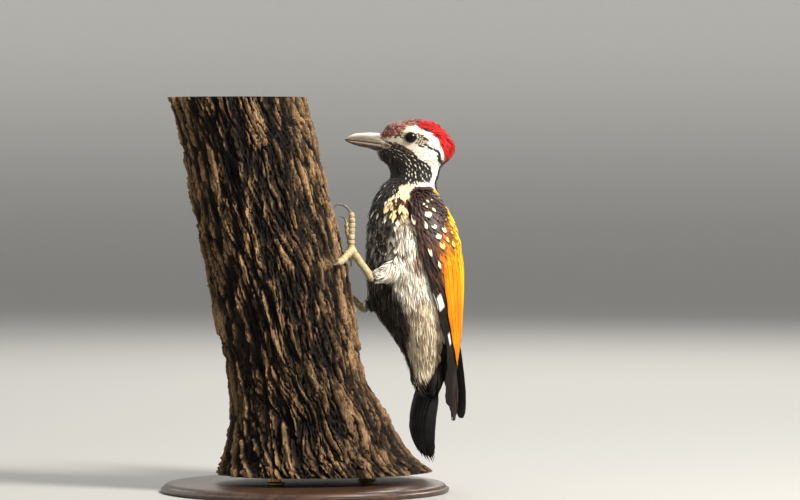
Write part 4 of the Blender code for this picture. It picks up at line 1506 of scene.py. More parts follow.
def map_feathers(piece, roots_map, rows, ring):
    """Unrolls each feather for baking: to a patch of the coat's map, or to a strip where there is no map."""
    mesh = piece.data
    feather, rest = np.divmod(read(mesh.loops, "vertex_index", 1, np.int32)[:, 0], rows * ring)
    row, column = np.divmod(rest, ring)
    sizes = read(mesh.polygons, "loop_total", 1, np.int32)[:, 0]
    face = np.repeat(np.arange(len(sizes)), sizes)
    highest = np.zeros(len(sizes), int)
    np.maximum.at(highest, face, column)
    across = np.where((column == 0) & (highest[face] == ring - 1), ring, column) / ring
    up = row / (rows - 1)
    if roots_map is None:
        place = np.stack(((feather + 0.04 + 0.92 * across) / (feather.max() + 1), 0.01 + 0.98 * up), axis=1)
    else:
        place = np.stack((across, up), axis=1) * UV_PATCH + roots_map[feather]
    mesh.uv_layers.new(name="OFBake").data.foreach_set("uv", place.astype(np.float32).ravel())


def vane_group():
    """A feather's own markings: a blot, a border, bars and a shaft line, and its fine barbs."""
    made = bpy.data.node_groups.get("Feather Vane")
    if made:
        return made
    white = (1.0, 1.0, 1.0, 1.0)
    sockets = [("Vane", "Vector", None), ("Ground", "Color", white), ("Mark", "Color", white)]
    sockets += [("Spot", "Vector", None), ("Trim", "Vector", None), ("Tone", "Float", 0.5)]
    sockets += [("Barbs", "Float", 9.0), ("Streaks", "Float", 0.35), ("Grain", "Float", 2.2)]
    results = [("Colour", "Color", None), ("Height", "Float", None)]
    group, source, sink = new_group("Feather Vane", sockets, results)
    vane = put(group, "SeparateXYZ", {0: source.outputs["Vane"]})
    across, along = vane.outputs[0], vane.outputs[1]
    width = sums(group, "ABSOLUTE", across)
    own = times(group, source.outputs["Tone"], 57.0)
    lengthwise = times(group, across, source.outputs["Grain"])
    barb_place = put(group, "CombineXYZ", {0: lengthwise, 1: along, 2: own}).outputs[0]
    soft = noise(group, barb_place, 1.9, 2.0)
    # barbs run out and towards the tip, so noise is drawn out along that slant
    slant = minus(group, along, times(group, width, 0.35))
    fan = put(group, "CombineXYZ", {0: times(group, slant, source.outputs["Barbs"]),
                                    1: times(group, across, 1.6), 2: own}).outputs[0]
    barbs = noise(group, fan, 2.4, 2.0, Roughness=0.6)
    wobble = times(group, minus(group, soft, 0.5), 0.35)
    fringe = times(group, minus(group, barbs, 0.5), 0.16)
    spot = put(group, "SeparateXYZ", {0: source.outputs["Spot"]})
    trim = put(group, "SeparateXYZ", {0: source.outputs["Trim"]})
    moved = plus(group, along, fringe)
    from_spot = sums(group, "DIVIDE", minus(group, moved, spot.outputs[0]),
                     sums(group, "MAXIMUM", spot.outputs[1], 0.001))
    beside = sums(group, "DIVIDE", across, sums(group, "MAXIMUM", spot.outputs[2], 0.001))
    apart = sums(group, "SQRT", plus(group, times(group, from_spot, from_spot),
                                     times(group, beside, beside)))
    blot = remap(group, plus(group, apart, wobble), 1.12, 0.86)
    has_spot = sums(group, "GREATER_THAN", spot.outputs[1], 0.002)
    blot = times(group, blot, has_spot)
    to_tip = times(group, minus(group, 1.0, along), 1.6)
    rim = sums(group, "MINIMUM", minus(group, 1.0, width), to_tip)
    wide = plus(group, trim.outputs[0], times(group, wobble, 0.25))
    border = sums(group, "DIVIDE", minus(group, wide, rim), 0.10, clamp=True)
    border = times(group, border, sums(group, "GREATER_THAN", trim.outputs[0], 0.01))
    beat = times(group, plus(group, along, times(group, wobble, 0.3)), trim.outputs[1])
    bars = times(group, sums(group, "SINE", beat), 3.0, clamp=True)
    marked = sums(group, "MAXIMUM", sums(group, "MAXIMUM", blot, border), bars)
    colour = mixed(group, marked, source.outputs["Ground"], source.outputs["Mark"])
    streak = times(group, minus(group, barbs, 0.5), source.outputs["Streaks"])
    light = plus(group, plus(group, 1.0, streak), times(group, minus(group, soft, 0.5), 0.4))
    tinted = put(group, "VectorMath", {0: colour, "Scale": light}, operation="SCALE").outputs[0]
    shaft = times(group, remap(group, width, 0.09, 0.03), trim.outputs[2])
    toned = mixed(group, shaft, tinted, source.outputs["Mark"])
    group.links.new(toned, sink.inputs["Colour"])
    ridge = times(group, remap(group, width, 0.12, 0.0), 0.6)
    group.links.new(plus(group, barbs, ridge), sink.inputs["Height"])
    return group


def feather_material(name, roughness, barbs, streaks, height, barb_grain=2.2, **shader_values):
    made, tree, shader = new_material(name, roughness, **shader_values)
    shader.inputs["Subsurface Radius"].default_value = (1.0, 0.85, 0.7)
    shader.inputs["Subsurface Scale"].default_value = 0.0015
    inputs = {
        "Vane": stored(tree, "vane", "Vector"), "Ground": stored(tree, "ground_colour", "Color"),
        "Mark": stored(tree, "mark_colour", "Color"), "Spot": stored(tree, "spot", "Vector"),
        "Trim": stored(tree, "trim", "Vector"), "Tone": stored(tree, "tone"),
        "Barbs": barbs, "Streaks": streaks, "Grain": barb_grain,
    }
    vane = use_group(tree, vane_group(), inputs)
    tree.links.new(vane.outputs["Colour"], shader.inputs["Base Color"])
    bump(tree, shader, vane.outputs["Height"], 0.55, height)
    return made


def soft_plumage():
    made = bpy.data.materials.get("soft plumage")
    if made:
        return made
    return feather_material("soft plumage", 0.85, barbs=3.0, streaks=0.2, height=0.06, barb_grain=5.0,
                            Sheen_Weight=0.25, Specular_IOR_Level=0.15, Subsurface_Weight=0.35)


def coat_flow(points):
    """The lie of the plumage: back from the bill over the head, down the neck and body."""
    ahead, _, above = head_place(points)
    back = -HEAD_AHEAD
    turn_down = ease(-above, 4.0, 27.0)[:, None]
    behind = ease(-ahead, 10.0, 25.0)[:, None] * ease(-above, -14.0, 8.0)[:, None]
    face = back - 0.18 * UP
    way = face * (1 - np.maximum(turn_down, 0.7 * behind)) - UP * np.maximum(turn_down, behind)
    way = way + 0.25 * turn_down * back * ease(above, -34, -20)[:, None]
    flank = ease(-above, 40, 60)[:, None] * np.array((0.10, 0.0, 0.0))
    way = way + flank
    return unit(way + 0.16 * swirl(points, 7, 61))


def leg_flow(side):
    """The lie of the feathers on a thigh: down with the flank's, and in to the ankle."""
    thigh, foot = node_points("thigh_" + side), node_points("foot_" + side)
    ankle = thigh[np.argmin(np.linalg.norm(thigh - foot.mean(axis=0), axis=1))]

    def flow(points):
        stir = swirl(points, 5, 64)
        inward = unit(ankle - points + 1e-6)
        near = ease(-np.linalg.norm(points - ankle, axis=1), -15.0, -5.0)[:, None]
        return unit((1 - near) * unit(0.55 * inward - UP) + near * (inward - 0.4 * UP) + 0.25 * stir)

    return flow, ankle


def shown_points(tree, roots, flow, length):
    """Roughly where each feather will show: most of the way to its tip."""
    spots = nearest(tree, roots)[0]
    return nearest(tree, spots + flow(spots) * length[:, None] * 0.72)[0]


def covered_by_wing(points, normals):
    """Which points of the skin lie well under a folded wing."""
    trees = [node_tree("wing_" + side) for side in SIDES]
    leans = [Vector(lean) for lean in ((0, 0, 0), (0, 0, 0.9), (-0.9, 0, 0), (0.6, 0, 0))]
    hidden = np.zeros(len(points), bool)
    for number, (point, normal) in enumerate(zip(points * MM, normals)):
        ways = [(Vector(normal) + lean).normalized() for lean in leans]
        hits = [tree.ray_cast(Vector(point), way, 0.016)[0] is not None for tree in trees for way in ways]
        hidden[number] = sum(hits) >= len(leans)
    return hidden


class Coat:
    """Grows one region's feathers over a base piece."""

    def __init__(self, base):
        self.base = base
        self.tree = tree_of(base)

    def grow(self, name, roots, flow, length, width, rise, look, material, rows, slot="plumage", sink=0.15,
             unwrap=None, **more):
        trail, ups, ways = walk(self.tree, roots, flow, length, rows)
        share = np.linspace(0, 1, rows)
        height = -sink + (rise + sink)[:, None] * share[None, :] ** 0.85
        if unwrap is None:
            low, high = float(roots[:, 2].min()), float(roots[:, 2].max())
            unwrap = unrolled(trail[:, 0], float(np.median(axis_at(roots[:, 2]))), low, high)
        settle(add_vanes(name, trail, ups, ways, width, height, look, unwrap, **more), material)


def near_eyes(points, reach):
    """Which points lie within a reach of the opening between the lids."""
    far = np.full(len(points), 99.0)
    for centre, side in ((EYE_LEFT, 1), (EYE_RIGHT, -1)):
        ring, out = eye_ring(points - centre, side, reach)
        far = np.minimum(far, np.where(out > 0, ring, 99.0))
    return far < 1


class WOODPECKER_OT_head_plumage(Operator):
    """Makes the feathers of the head, the crest and the neck"""

    bl_idname = "woodpecker.head_plumage"
    bl_label = "Head Plumage"

    def execute(self, context):
        choices = context.scene.woodpecker_plumage
        skin = bpy.data.objects["skin"]
        coat = Coat(skin)
        base = choices.face_spacing / MM

        def spacing(points):
            ahead, _, above = head_place(points)
            fine = 0.16 * ease(ahead, -2, 4) * ease(above, 1, 5)
            return base * (1 - fine + 0.2 * ease(-ahead, 8, 20) + 0.4 * ease(-above, 16, 34))

        roots = scatter(skin, spacing, 101, keep=lambda spots: head_place(spots)[2] > -36.0)
        roots = roots[~near_eyes(roots, 0.35)]
        horn = np.stack(head_place(roots)[::2], axis=1)
        roots = roots[~(inside(horn, HORN_BACK) & (distance_to(horn, HORN_BACK) > 0.4))]
        ahead, _, above = head_place(roots)
        random = draws(102)
        from_bill = np.linalg.norm(np.stack((ahead - 24, above + 3), axis=1), axis=1)
        length = 2.6 + 0.9 * ease(-ahead, -14, 6) + 1.6 * ease(-above, 10, 32)
        length *= 0.55 + 0.45 * ease(from_bill, 2, 12)
        length *= 0.5 + 0.5 * ease(from_eyes(roots), 5.5, 9.5)
        crown = inside(np.stack((ahead, above), axis=1), CROWN)
        crest = crown & (ahead < 2)
        length[crest] += 4.4 * ease(-ahead[crest], -2, 20)
        length *= random.uniform(0.95, 1.25, len(roots))
        width = np.clip(length * 0.40, 0.7, 1.8) * (1 + 0.1 * ease(-above, 16, 30))
        width[crest] = np.clip(width[crest], 0.9, 1.35)
        rise = coat_depth(roots) * random.uniform(0.75, 1.05, len(roots)) * np.clip(length / 3.6, 0.45, 1.0)
        seen = shown_points(coat.tree, roots, coat_flow, length)
        look = feather_look(seen, choices, 103)
        whitish = look.ground.min(axis=1) > 170
        rise[whitish] *= 0.3
        width[whitish] *= 1.5
        rise *= 1 - 0.55 * ease(ahead, 18, 21) * (above > -2)
        tip_ahead, _, tip_above = head_place(seen)
        rise += 2.0 * crest * np.exp(-(((tip_ahead + 20) / 6.0) ** 2) - ((tip_above - 5) / 7.0) ** 2)
        material = feather_material("head plumage", 0.66, barbs=7.0, streaks=0.3, height=0.08,
                                    Sheen_Weight=0.12, Specular_IOR_Level=0.3, Subsurface_Weight=0.35)
        front = ahead > -1.5
        regions = {"coat_face": front & ~crown, "coat_crown": crown, "coat_neck": ~front & ~crown}
        for name, where in regions.items():
            part = Look(int(where.sum()))
            for key in ("ground", "mark", "spot", "trim"):
                setattr(part, key, getattr(look, key)[where])
            coat.grow(name, roots[where], coat_flow, length[where], width[where], rise[where], part, material,
                      rows=5, columns=3, thick=0.11, fray=0.16, seed=104, round_tip=0.28, camber=0.16)
        self.bill_rim(choices, material)
        return {"FINISHED"}

    def bill_rim(self, choices, material):
        """Black feathers under the bill's root, and short dull ones over the top of it."""
        shape = copy_of(["head", "bill_upper", "bill_lower"], "rim shape")
        fuse(shape, 0.7, smoothing=4)
        coat = Coat(shape)

        def keep(spots):
            ahead, side, above = head_place(spots)
            chin = (ahead > 15) & (ahead < 30.5) & (above < -7.4 - 0.10 * (24 - ahead)) & (above > -16)
            brow = (ahead > 20.5) & (ahead < 24.4 - 0.35 * np.abs(side)) & (above > 0.4)
            return chin | brow

        roots = scatter(shape, lambda points: np.full(len(points), 0.75), 105, keep=keep)
        ahead, _, above = head_place(roots)
        random = draws(106)
        chin = above < -4
        length = np.where(chin, 3.2, 1.8) * random.uniform(0.85, 1.2, len(roots))
        rise = np.where(chin, 0.45 + 0.9 * ease(-ahead, -31, -27) * ease(ahead, 19.5, 23), 0.3)
        rise = rise * random.uniform(0.7, 1.1, len(roots))
        look = Look(len(roots))
        black, pink = chosen(choices.black), chosen(choices.forecrown)
        chance = random.random((len(roots), 1))
        shades = black * (0.9 + 0.5 * chance), pink * (0.5 + 0.75 * chance)
        look.set(slice(None), np.where(chin[:, None], *shades))
        coat.grow("coat_bill_rim", roots, coat_flow, length, np.full(len(roots), 0.85), rise, look, material,
                  rows=5, columns=3, thick=0.1, fray=0.22, seed=107, round_tip=0.35, camber=0.2)
        bpy.data.objects.remove(shape)


class WOODPECKER_OT_body_plumage(Operator):
    """Makes the feathers of the breast, flanks, belly, thighs, back and rump"""

    bl_idname = "woodpecker.body_plumage"
    bl_label = "Body Plumage"

    def execute(self, context):
        choices = context.scene.woodpecker_plumage
        skin = bpy.data.objects["skin"]
        coat = Coat(skin)
        base = choices.body_spacing / MM
        legs = {side: leg_flow(side) for side in SIDES}

        def spacing(points):
            turn, height = body_place(points)
            scaly = ease(turn, 126, 140) * ease(height, 136, 146) * ease(-height, -198, -188)
            scaly = np.maximum(scaly, 0.3 * ease(height, 188, 198))
            leg = np.minimum(*(np.linalg.norm(points - ankle, axis=1) for _, ankle in legs.values()))
            return base * (0.47 + 0.38 * scaly) * (1 - 0.25 * ease(-leg, -20, -10))

        roots = scatter(skin, spacing, 111, keep=lambda spots: head_place(spots)[2] <= -33.5)
        normals = nearest(coat.tree, roots)[1]
        roots = roots[~covered_by_wing(roots, normals)]
        gap = {node: np.linalg.norm(nearest(node_tree(node), roots)[0] - roots, axis=1)
               for node in ("trunk", "neck", "thigh_left", "thigh_right")}
        rest = np.minimum(gap["trunk"], gap["neck"])
        turn, height = body_place(roots)
        firm = feather_material("body plumage", 0.8, barbs=9.0, streaks=0.5, height=0.12,
                                Sheen_Weight=0.15, Specular_IOR_Level=0.25)
        soft = soft_plumage()
        groups = {"thigh_" + side: gap["thigh_" + side] < rest - 0.4 for side in SIDES}
        torso = ~(groups["thigh_left"] | groups["thigh_right"])
        groups["breast"] = torso & (height > 149) & ((turn > 132) | (height > 186)) & (turn > 62)
        groups["back"] = torso & (turn <= 62)
        torso = torso & ~groups["breast"]
        for side, there in (("left", roots[:, 1] < 0), ("right", roots[:, 1] >= 0)):
            belly = (turn > 116) & (height <= 149)
            groups["belly_" + side] = torso & there & belly
            groups["flank_" + side] = torso & there & ~belly & (turn > 62)
        for name, where in groups.items():
            here = roots[where]
            random = draws(112 + len(name))
            thigh = name.startswith("thigh")
            flow = legs[name[6:]][0] if thigh else coat_flow
            scaly = name in ("breast", "back")
            size = (8.8 if scaly else 10.5) - 2.6 * ease(here[:, 2], 184, 206)
            size -= 1.6 * ease(-here[:, 2], -88, -72)
            if thigh:
                from_ankle = np.linalg.norm(here - legs[name[6:]][1], axis=1)
                size = 2.4 + 6.2 * ease(from_ankle, 2, 16)
            length = size * random.uniform(0.75, 1.2, len(here))
            if scaly:
                width = length * random.uniform(0.46, 0.56, len(here))
            else:
                width = random.uniform(0.9, 1.7, len(here))
            rise = np.minimum(coat_depth(here), length * 0.34) * random.uniform(0.55, 1.2, len(here))
            if thigh:
                rise = np.minimum(2.9, length * 0.38) * random.uniform(0.7, 1.1, len(here))
            vent = ease(-here[:, 2], -92, -77) * ease(turn[where], 95, 135) * (not thigh)
            rise = rise + 3.4 * vent
            seen = shown_points(coat.tree, here, flow, length)
            look = feather_look(seen, choices, 113 + len(name))
            if thigh:
                tint = chosen(choices.flank) * random.uniform(0.93, 1.02, len(here))[:, None]
                wisp = ease(cloud(seen, 3.2, 58) + 0.5 * (random.random(len(here)) - 0.5), 0.25, 0.75) * 0.4
                tint = blend(tint, chosen(choices.brown) * 1.3, wisp)
                look.set(np.ones(len(here), bool), tint)
            style = dict(rows=6, columns=7, fray=0.15, camber=0.2, round_tip=0.34, material=firm, thick=0.13)
            if not scaly:
                style = dict(rows=5, columns=3, fray=0.35, camber=0.5, round_tip=0.1, material=soft,
                             thick=0.18, shape=LOCK_SHAPE)
            coat.grow("coat_" + name, here, flow, length, np.minimum(width, length * 0.6), rise, look,
                      seed=114 + len(name), **style)
        return {"FINISHED"}


# ---------------------------------------------------------------- wings


class WingChoices(PropertyGroup):
    gold: colour_choice("Gold", "Main colour of the secondaries", (218, 138, 8))
    yellow: colour_choice("Yellow", "Colour of the wing's back edge and the mantle", (232, 190, 24))
    olive: colour_choice("Olive", "Colour of the upper coverts' lower rows", (132, 84, 14))
    shoulder: colour_choice("Shoulder", "Purplish black of the shoulder coverts", (56, 35, 27))
    primaries: colour_choice("Primaries", "Colour of the long flight feathers", (24, 18, 14))
    spots: colour_choice("Spots", "Colour of the wing's spots", (248, 236, 196))


# Height and X of the line that the folded wings curve round.
WING_AXIS = ((46, 99.9), (64, 99.2), (80, 96.2), (100, 89.4), (118, 81.2), (146, 77.6), (167, 77.4),
             (189, 75.1), (199, 73.8), (208, 74.9))

# Spots on the coverts: height of the middle, share of the way across the wing, width, length.
WING_SPOTS = [
    (205.2, 0.12, 3.4, 1.6), (197.9, 0.53, 1.0, 1.6), (196.8, 0.41, 1.5, 2.6), (195.2, 0.30, 2.2, 1.8),
    (193.6, 0.34, 1.5, 2.8), (190.9, 0.46, 2.2, 3.6), (190.3, 0.57, 0.9, 1.2), (188.2, 0.32, 5.2, 4.6),
    (186.0, 0.46, 1.1, 1.5), (184.9, 0.62, 1.2, 2.2), (181.1, 0.22, 2.6, 5.8), (180.6, 0.35, 4.0, 4.6),
    (177.9, 0.50, 3.0, 5.2), (173.5, 0.36, 4.4, 4.4), (171.4, 0.49, 2.4, 4.6), (167.6, 0.37, 4.0, 5.8),
    (168.1, 0.58, 2.8, 4.8), (181.0, 0.72, 1.6, 5.0), (163.8, 0.15, 2.2, 8.4), (155.6, 0.24, 2.2, 8.4),
    (184.4, 0.045, 2.2, 7.0), (177.3, 0.045, 2.6, 9.4), (176.0, 0.64, 1.6, 3.4), (201.5, 0.32, 0.9, 1.2),
]
# Where the gold begins: height, share of the way across the wing.
GOLD_FROM = ((60, 0.35), (85, 0.27), (100, 0.13), (112, 0.15), (135, 0.19), (145, 0.22), (151, 0.25),
             (159, 0.30), (169, 0.36), (176, 0.46), (182, 0.62), (188, 0.78), (194, 0.9), (200, 1.0),
             (210, 1.1))

# Middle lines of the outermost and the innermost feather of each group: height, share across the wing.
OUTER_SECONDARY = ((75, 0.52), (82, 0.45), (90, 0.38), (100, 0.30), (120, 0.275), (135, 0.30), (145, 0.33),
                   (163, 0.40), (176, 0.46))
INNER_SECONDARY = ((75, 0.6), (100, 0.82), (120, 0.88), (150, 0.93), (176, 0.92))
SECONDARY_TIPS = (82.2, 85.0, 89.0, 94.0, 100.0, 107.0, 114.0, 121.0)  # from the outermost in
# White blocks on the primaries: height of the middle, first and last share across the wing, length.
WHITE_BLOCKS = ((128.5, 0.04, 0.14, 9.4), (103.0, 0.10, 0.15, 7.4), (129.0, 0.0, 0.012, 11.0))
OUTER_PRIMARY = ((46, 0.36), (50, 0.16), (56, 0.0), (62, -0.06), (72, 0.0), (80, 0.04), (100, 0.05),
                 (135, 0.055), (168, 0.05))
INNER_PRIMARY = ((46, 0.6), (52, 0.7), (64, 0.8), (75, 0.78), (85, 0.6), (100, 0.3), (135, 0.2), (168, 0.16))
PRIMARY_TIPS = (55.0, 48.6, 46.4, 47.4, 52.0, 58.5, 65.0, 71.0)  # from the outermost in


WING_REACH = 0.07  # in metres: further than a folded wing's outer face ever lies from its axis


def filled(values):
    """The values with the misses filled in from their neighbours."""
    found = np.array([np.nan if value is None else value for value in values])
    good = np.isfinite(found)
    if not good.any():
        return np.zeros(len(found))
    return np.interp(np.arange(len(found)), np.flatnonzero(good), found[good])


def looked_up(table, heights, shares, height, share):
    """Reads a table of evenly spaced heights and shares between its entries."""
    row = np.clip((height - heights[0]) / (heights[1] - heights[0]), 0, len(heights) - 1.001)
    column = np.clip((share - shares[0]) / (shares[1] - shares[0]), 0, len(shares) - 1.001)
    i, j = row.astype(int), column.astype(int)
    a, b = row - i, column - j
    low = (1 - b) * table[i, j] + b * table[i, j + 1]
    return (1 - a) * low + a * ((1 - b) * table[i + 1, j] + b * table[i + 1, j + 1])


class WingSurface:
    """Finds points of a folded wing by height and share: 0 at its leading edge, 1 at its back edge."""

    def __init__(self, side):
        self.sign = -1 if side == "left" else 1
        tree = node_tree("wing_" + side)
        low, high = box("wing_" + side)
        self.heights = np.linspace(low[2] + 0.35, high[2] - 0.35, 110)
        self.axis = np.interp(self.heights, *zip(*WING_AXIS))
        if side == "right":
            self.axis += self.lift(node_tree("wing_left"), tree)
        angles = np.radians(np.arange(-132.0, 12.0, 1.0))
        edges, outer, inner = [], [], []
        for x, height in zip(self.axis, self.heights):
            hit = np.array([self.cast(tree, x, height, angle, inward=True) is not None for angle in angles])
            # the run of hits round the wing's middle
            centre = int(np.flatnonzero(hit)[hit.sum() // 2])
            first, last = centre, centre
            while first > 0 and hit[first - 1]:
                first -= 1
            while last < len(hit) - 1 and hit[last + 1]:
                last += 1
            edges.append((angles[first], angles[last]))
        padded = np.pad(edges, ((1, 1), (0, 0)), mode="edge")
        self.edges = (padded[:-2] + 2 * padded[1:-1] + padded[2:]) / 4
        self.shares = np.linspace(0.03, 0.97, 27)
        for row, (x, height) in enumerate(zip(self.axis, self.heights)):
            turn = self.edges[row, 0] + (self.edges[row, 1] - self.edges[row, 0]) * self.shares
            outer.append(filled([self.cast(tree, x, height, angle, inward=True) for angle in turn]))
            inner.append(filled([self.cast(tree, x, height, angle, inward=False) for angle in turn]))
        self.outer, self.inner = np.array(outer), np.array(inner)

    def lift(self, left, right):
        """How far the right wing lies behind the left one, at each height."""
        reach = []
        for tree, sign in ((left, -1), (right, 1)):
            back = []
            for height in self.heights:
                hits = [tree.ray_cast(Vector((0.3, sign * y * MM, height * MM)), Vector((-1, 0, 0)))[0]
                        for y in np.linspace(1, 30, 30)]
                found = [hit[0] / MM for hit in hits if hit is not None]
                back.append(max(found) if found else np.nan)
            reach.append(np.array(back))
        gap = reach[1] - reach[0]
        good = np.isfinite(gap)
        return np.interp(self.heights, self.heights[good], gap[good])

    def cast(self, tree, x, height, angle, inward):
        way = Vector((math.cos(angle), -self.sign * math.sin(angle), 0))
        axis = Vector((x, 0, height)) * MM
        start, heading = (axis + way * WING_REACH, -way) if inward else (axis, way)
        hit = tree.ray_cast(start, heading, WING_REACH)[0]
        return None if hit is None else (hit - axis).length / MM

    def table(self, values, height, share):
        return looked_up(values, self.heights, self.shares, height, share)

    def turn(self, height, share):
        low = np.interp(height, self.heights, self.edges[:, 0])
        high = np.interp(height, self.heights, self.edges[:, 1])
        return low + (high - low) * share

    def girth(self, height):
        """Length of the wing's outer face across, in millimetres, at a height."""
        steps = np.linspace(0.02, 0.98, 25)
        rows = np.asarray(height, float)
        ring = self.at(np.repeat(rows[..., None], 25, -1), np.broadcast_to(steps, rows.shape + (25,)), 0.0)
        return np.linalg.norm(np.diff(ring, axis=-2), axis=-1).sum(axis=-1) / 0.96

    def way(self, height, share):
        """The outward direction, level."""
        turn = self.turn(height, share)
        return np.stack((np.cos(turn), -self.sign * np.sin(turn), np.zeros_like(turn)), axis=-1)

    def at(self, height, share, out):
        height, share = np.broadcast_arrays(np.asarray(height, float), np.asarray(share, float))
        reach = self.table(self.outer, height, share) + out
        axis = np.zeros(height.shape + (3,))
        axis[..., 0] = np.interp(height, self.heights, self.axis)
        axis[..., 2] = height
        return axis + self.way(height, share) * reach[..., None]

    def place(self, points):
        """Height and share of points near the wing."""
        height = points[:, 2]
        x = points[:, 0] - np.interp(height, self.heights, self.axis)
        turn = np.arctan2(-self.sign * points[:, 1], x)
        low, high = self.turn(height, 0), self.turn(height, 1)
        return height, (turn - low) / (high - low)


RUSTY_GOLD, RUSTY_BROWN, RUST = np.array(((168.0, 92.0, 24.0), (112.0, 62.0, 22.0), (176.0, 98.0, 22.0)))
BLOCK_WHITE = np.array((252.0, 247.0, 232.0))
PRIMARY_SHAFT, TAIL_SHAFT = np.array(((92.0, 70.0, 58.0), (86.0, 62.0, 55.0)))


def wing_colours(height, share, choices, chance):
    """Ground colour of the coverts and of the wing's base by place."""
    gold_from = np.interp(height, *zip(*GOLD_FROM))
    golden = ease(share, gold_from - 0.03, gold_from + 0.05)
    shoulder, olive, gold, yellow = (
        chosen(colour) for colour in (choices.shoulder, choices.olive, choices.gold, choices.yellow)
    )
    dark = shoulder * (0.62 + 0.75 * chance[:, None])
    rich = blend(olive, gold * 0.9, ease(-height, -172, -156))
    rich = blend(rich, RUSTY_GOLD, ease(-(share - gold_from), -0.16, -0.02) * 0.8)
    bright = blend(yellow * 0.97, gold, ease(-height, -150, -120) * 0.3)
    rich = blend(rich, bright, ease(share, 0.62, 0.82))
    rich = rich * (0.82 + 0.34 * chance[:, None])
    rusty = ease(share - gold_from, -0.16, -0.03) * ease(-height, -178, -164) * (chance > 0.35)
    dark = blend(dark, RUSTY_BROWN, 0.75 * rusty)
    return blend(dark, rich, golden), golden


def long_feathers(name, wing, outer, inner, root, tips, width, shaft_at, out_low, out_high, look, material,
                  rows, seed, sink=0.7, full=False):
    """Flight feathers that lie side by side like tiles, each with a raised shaft and a web on either side."""
    spread = np.array((-1, -0.8, -0.5, -0.22, -0.06, 0.0, 0.06, 0.22, 0.5, 0.8, 1.0))
    paths = [between_paths(outer, inner, part) for part in np.linspace(0, 1, len(tips))]
    random = draws(seed)
    count = len(tips)
    share = np.linspace(0, 1, rows) ** 0.92
    tip_shape = ((0.93, 0.9), (0.98, 0.66), (1, 0.3)) if full else ((0.93, 0.74), (0.98, 0.46), (1, 0.2))
    profile = np.interp(share, *zip((0, 0.55), (0.12, 0.8), (0.35, 1.0), (0.82, 0.96), *tip_shape))
    span = root - np.array(tips)[:, None, None]
    round_off = 0.25 * width / span * spread**2 * ease(share, 0.55, 1)[:, None]
    edge = random.uniform(-1, 1, (count, rows, len(spread))) * 0.004 * (np.abs(spread) > 0.9)
    reach = np.clip(share[:, None] - round_off + edge, 0, 1)
    height = root - span * reach
    middle_line = np.stack([np.interp(height[i], *zip(*paths[i])) for i in range(count)])
    levels = np.linspace(46.5, 206, 80)
    across = np.interp(height, levels, wing.girth(levels))
    half = width * profile[:, None] / 2
    shift = shaft_at * (1 - ease(share, 0.9, 1.0))[:, None]
    offset = np.where(spread < 0, spread * (1 + shift), spread * (1 - shift))
    place = middle_line + (offset * half) / across
    least = 0.004 - (0.2 * ease(-height, -84, -72) if full else 0.0)  # the tips reach past the frame's edge
    place = np.clip(place, least, 0.996)
    out = out_low + (out_high - out_low) * (1 - spread) / 2
    out = out - sink * ease(-share, -0.35, 0.0)[None, :, None]
    out = out + 0.16 * np.exp(-((spread / 0.07) ** 2)) - 0.10 * spread**2
    if full:  # the tips of the longest stand off a little, more so on the left wing
        out = out + (1.0 if wing.sign > 0 else 5.6) * ease(-height, -88, -58) * ease(place, 0.2, 0.75)
    centre = wing.at(height, place, out)
    normal = wing.way(height, place)
    body = np.array((0.05, 0.1, 0.12, 0.14, 0.2, 0.3, 0.2, 0.14, 0.12, 0.1, 0.05))
    body = body * (1 - 0.45 * share)[:, None]
    turned = slice(None, None, -wing.sign)  # the right wing's are mirrored, so their faces still point out
    centre, normal, reach = centre[:, :, turned], normal[:, :, turned], reach[:, :, turned]
    aside = np.broadcast_to(spread[turned], reach.shape)
    piece = close_vanes(name, centre, normal, body, aside, reach, look, None, seed, sharp_over=80)
    return settle(piece, material)


def between_paths(outer, inner, share):
    """A middle line part of the way from the outermost feather's to the innermost one's."""
    heights = sorted({height for height, _ in (*outer, *inner)})
    first, second = np.interp(heights, *zip(*outer)), np.interp(heights, *zip(*inner))
    return list(zip(heights, first * (1 - share) + second * share))


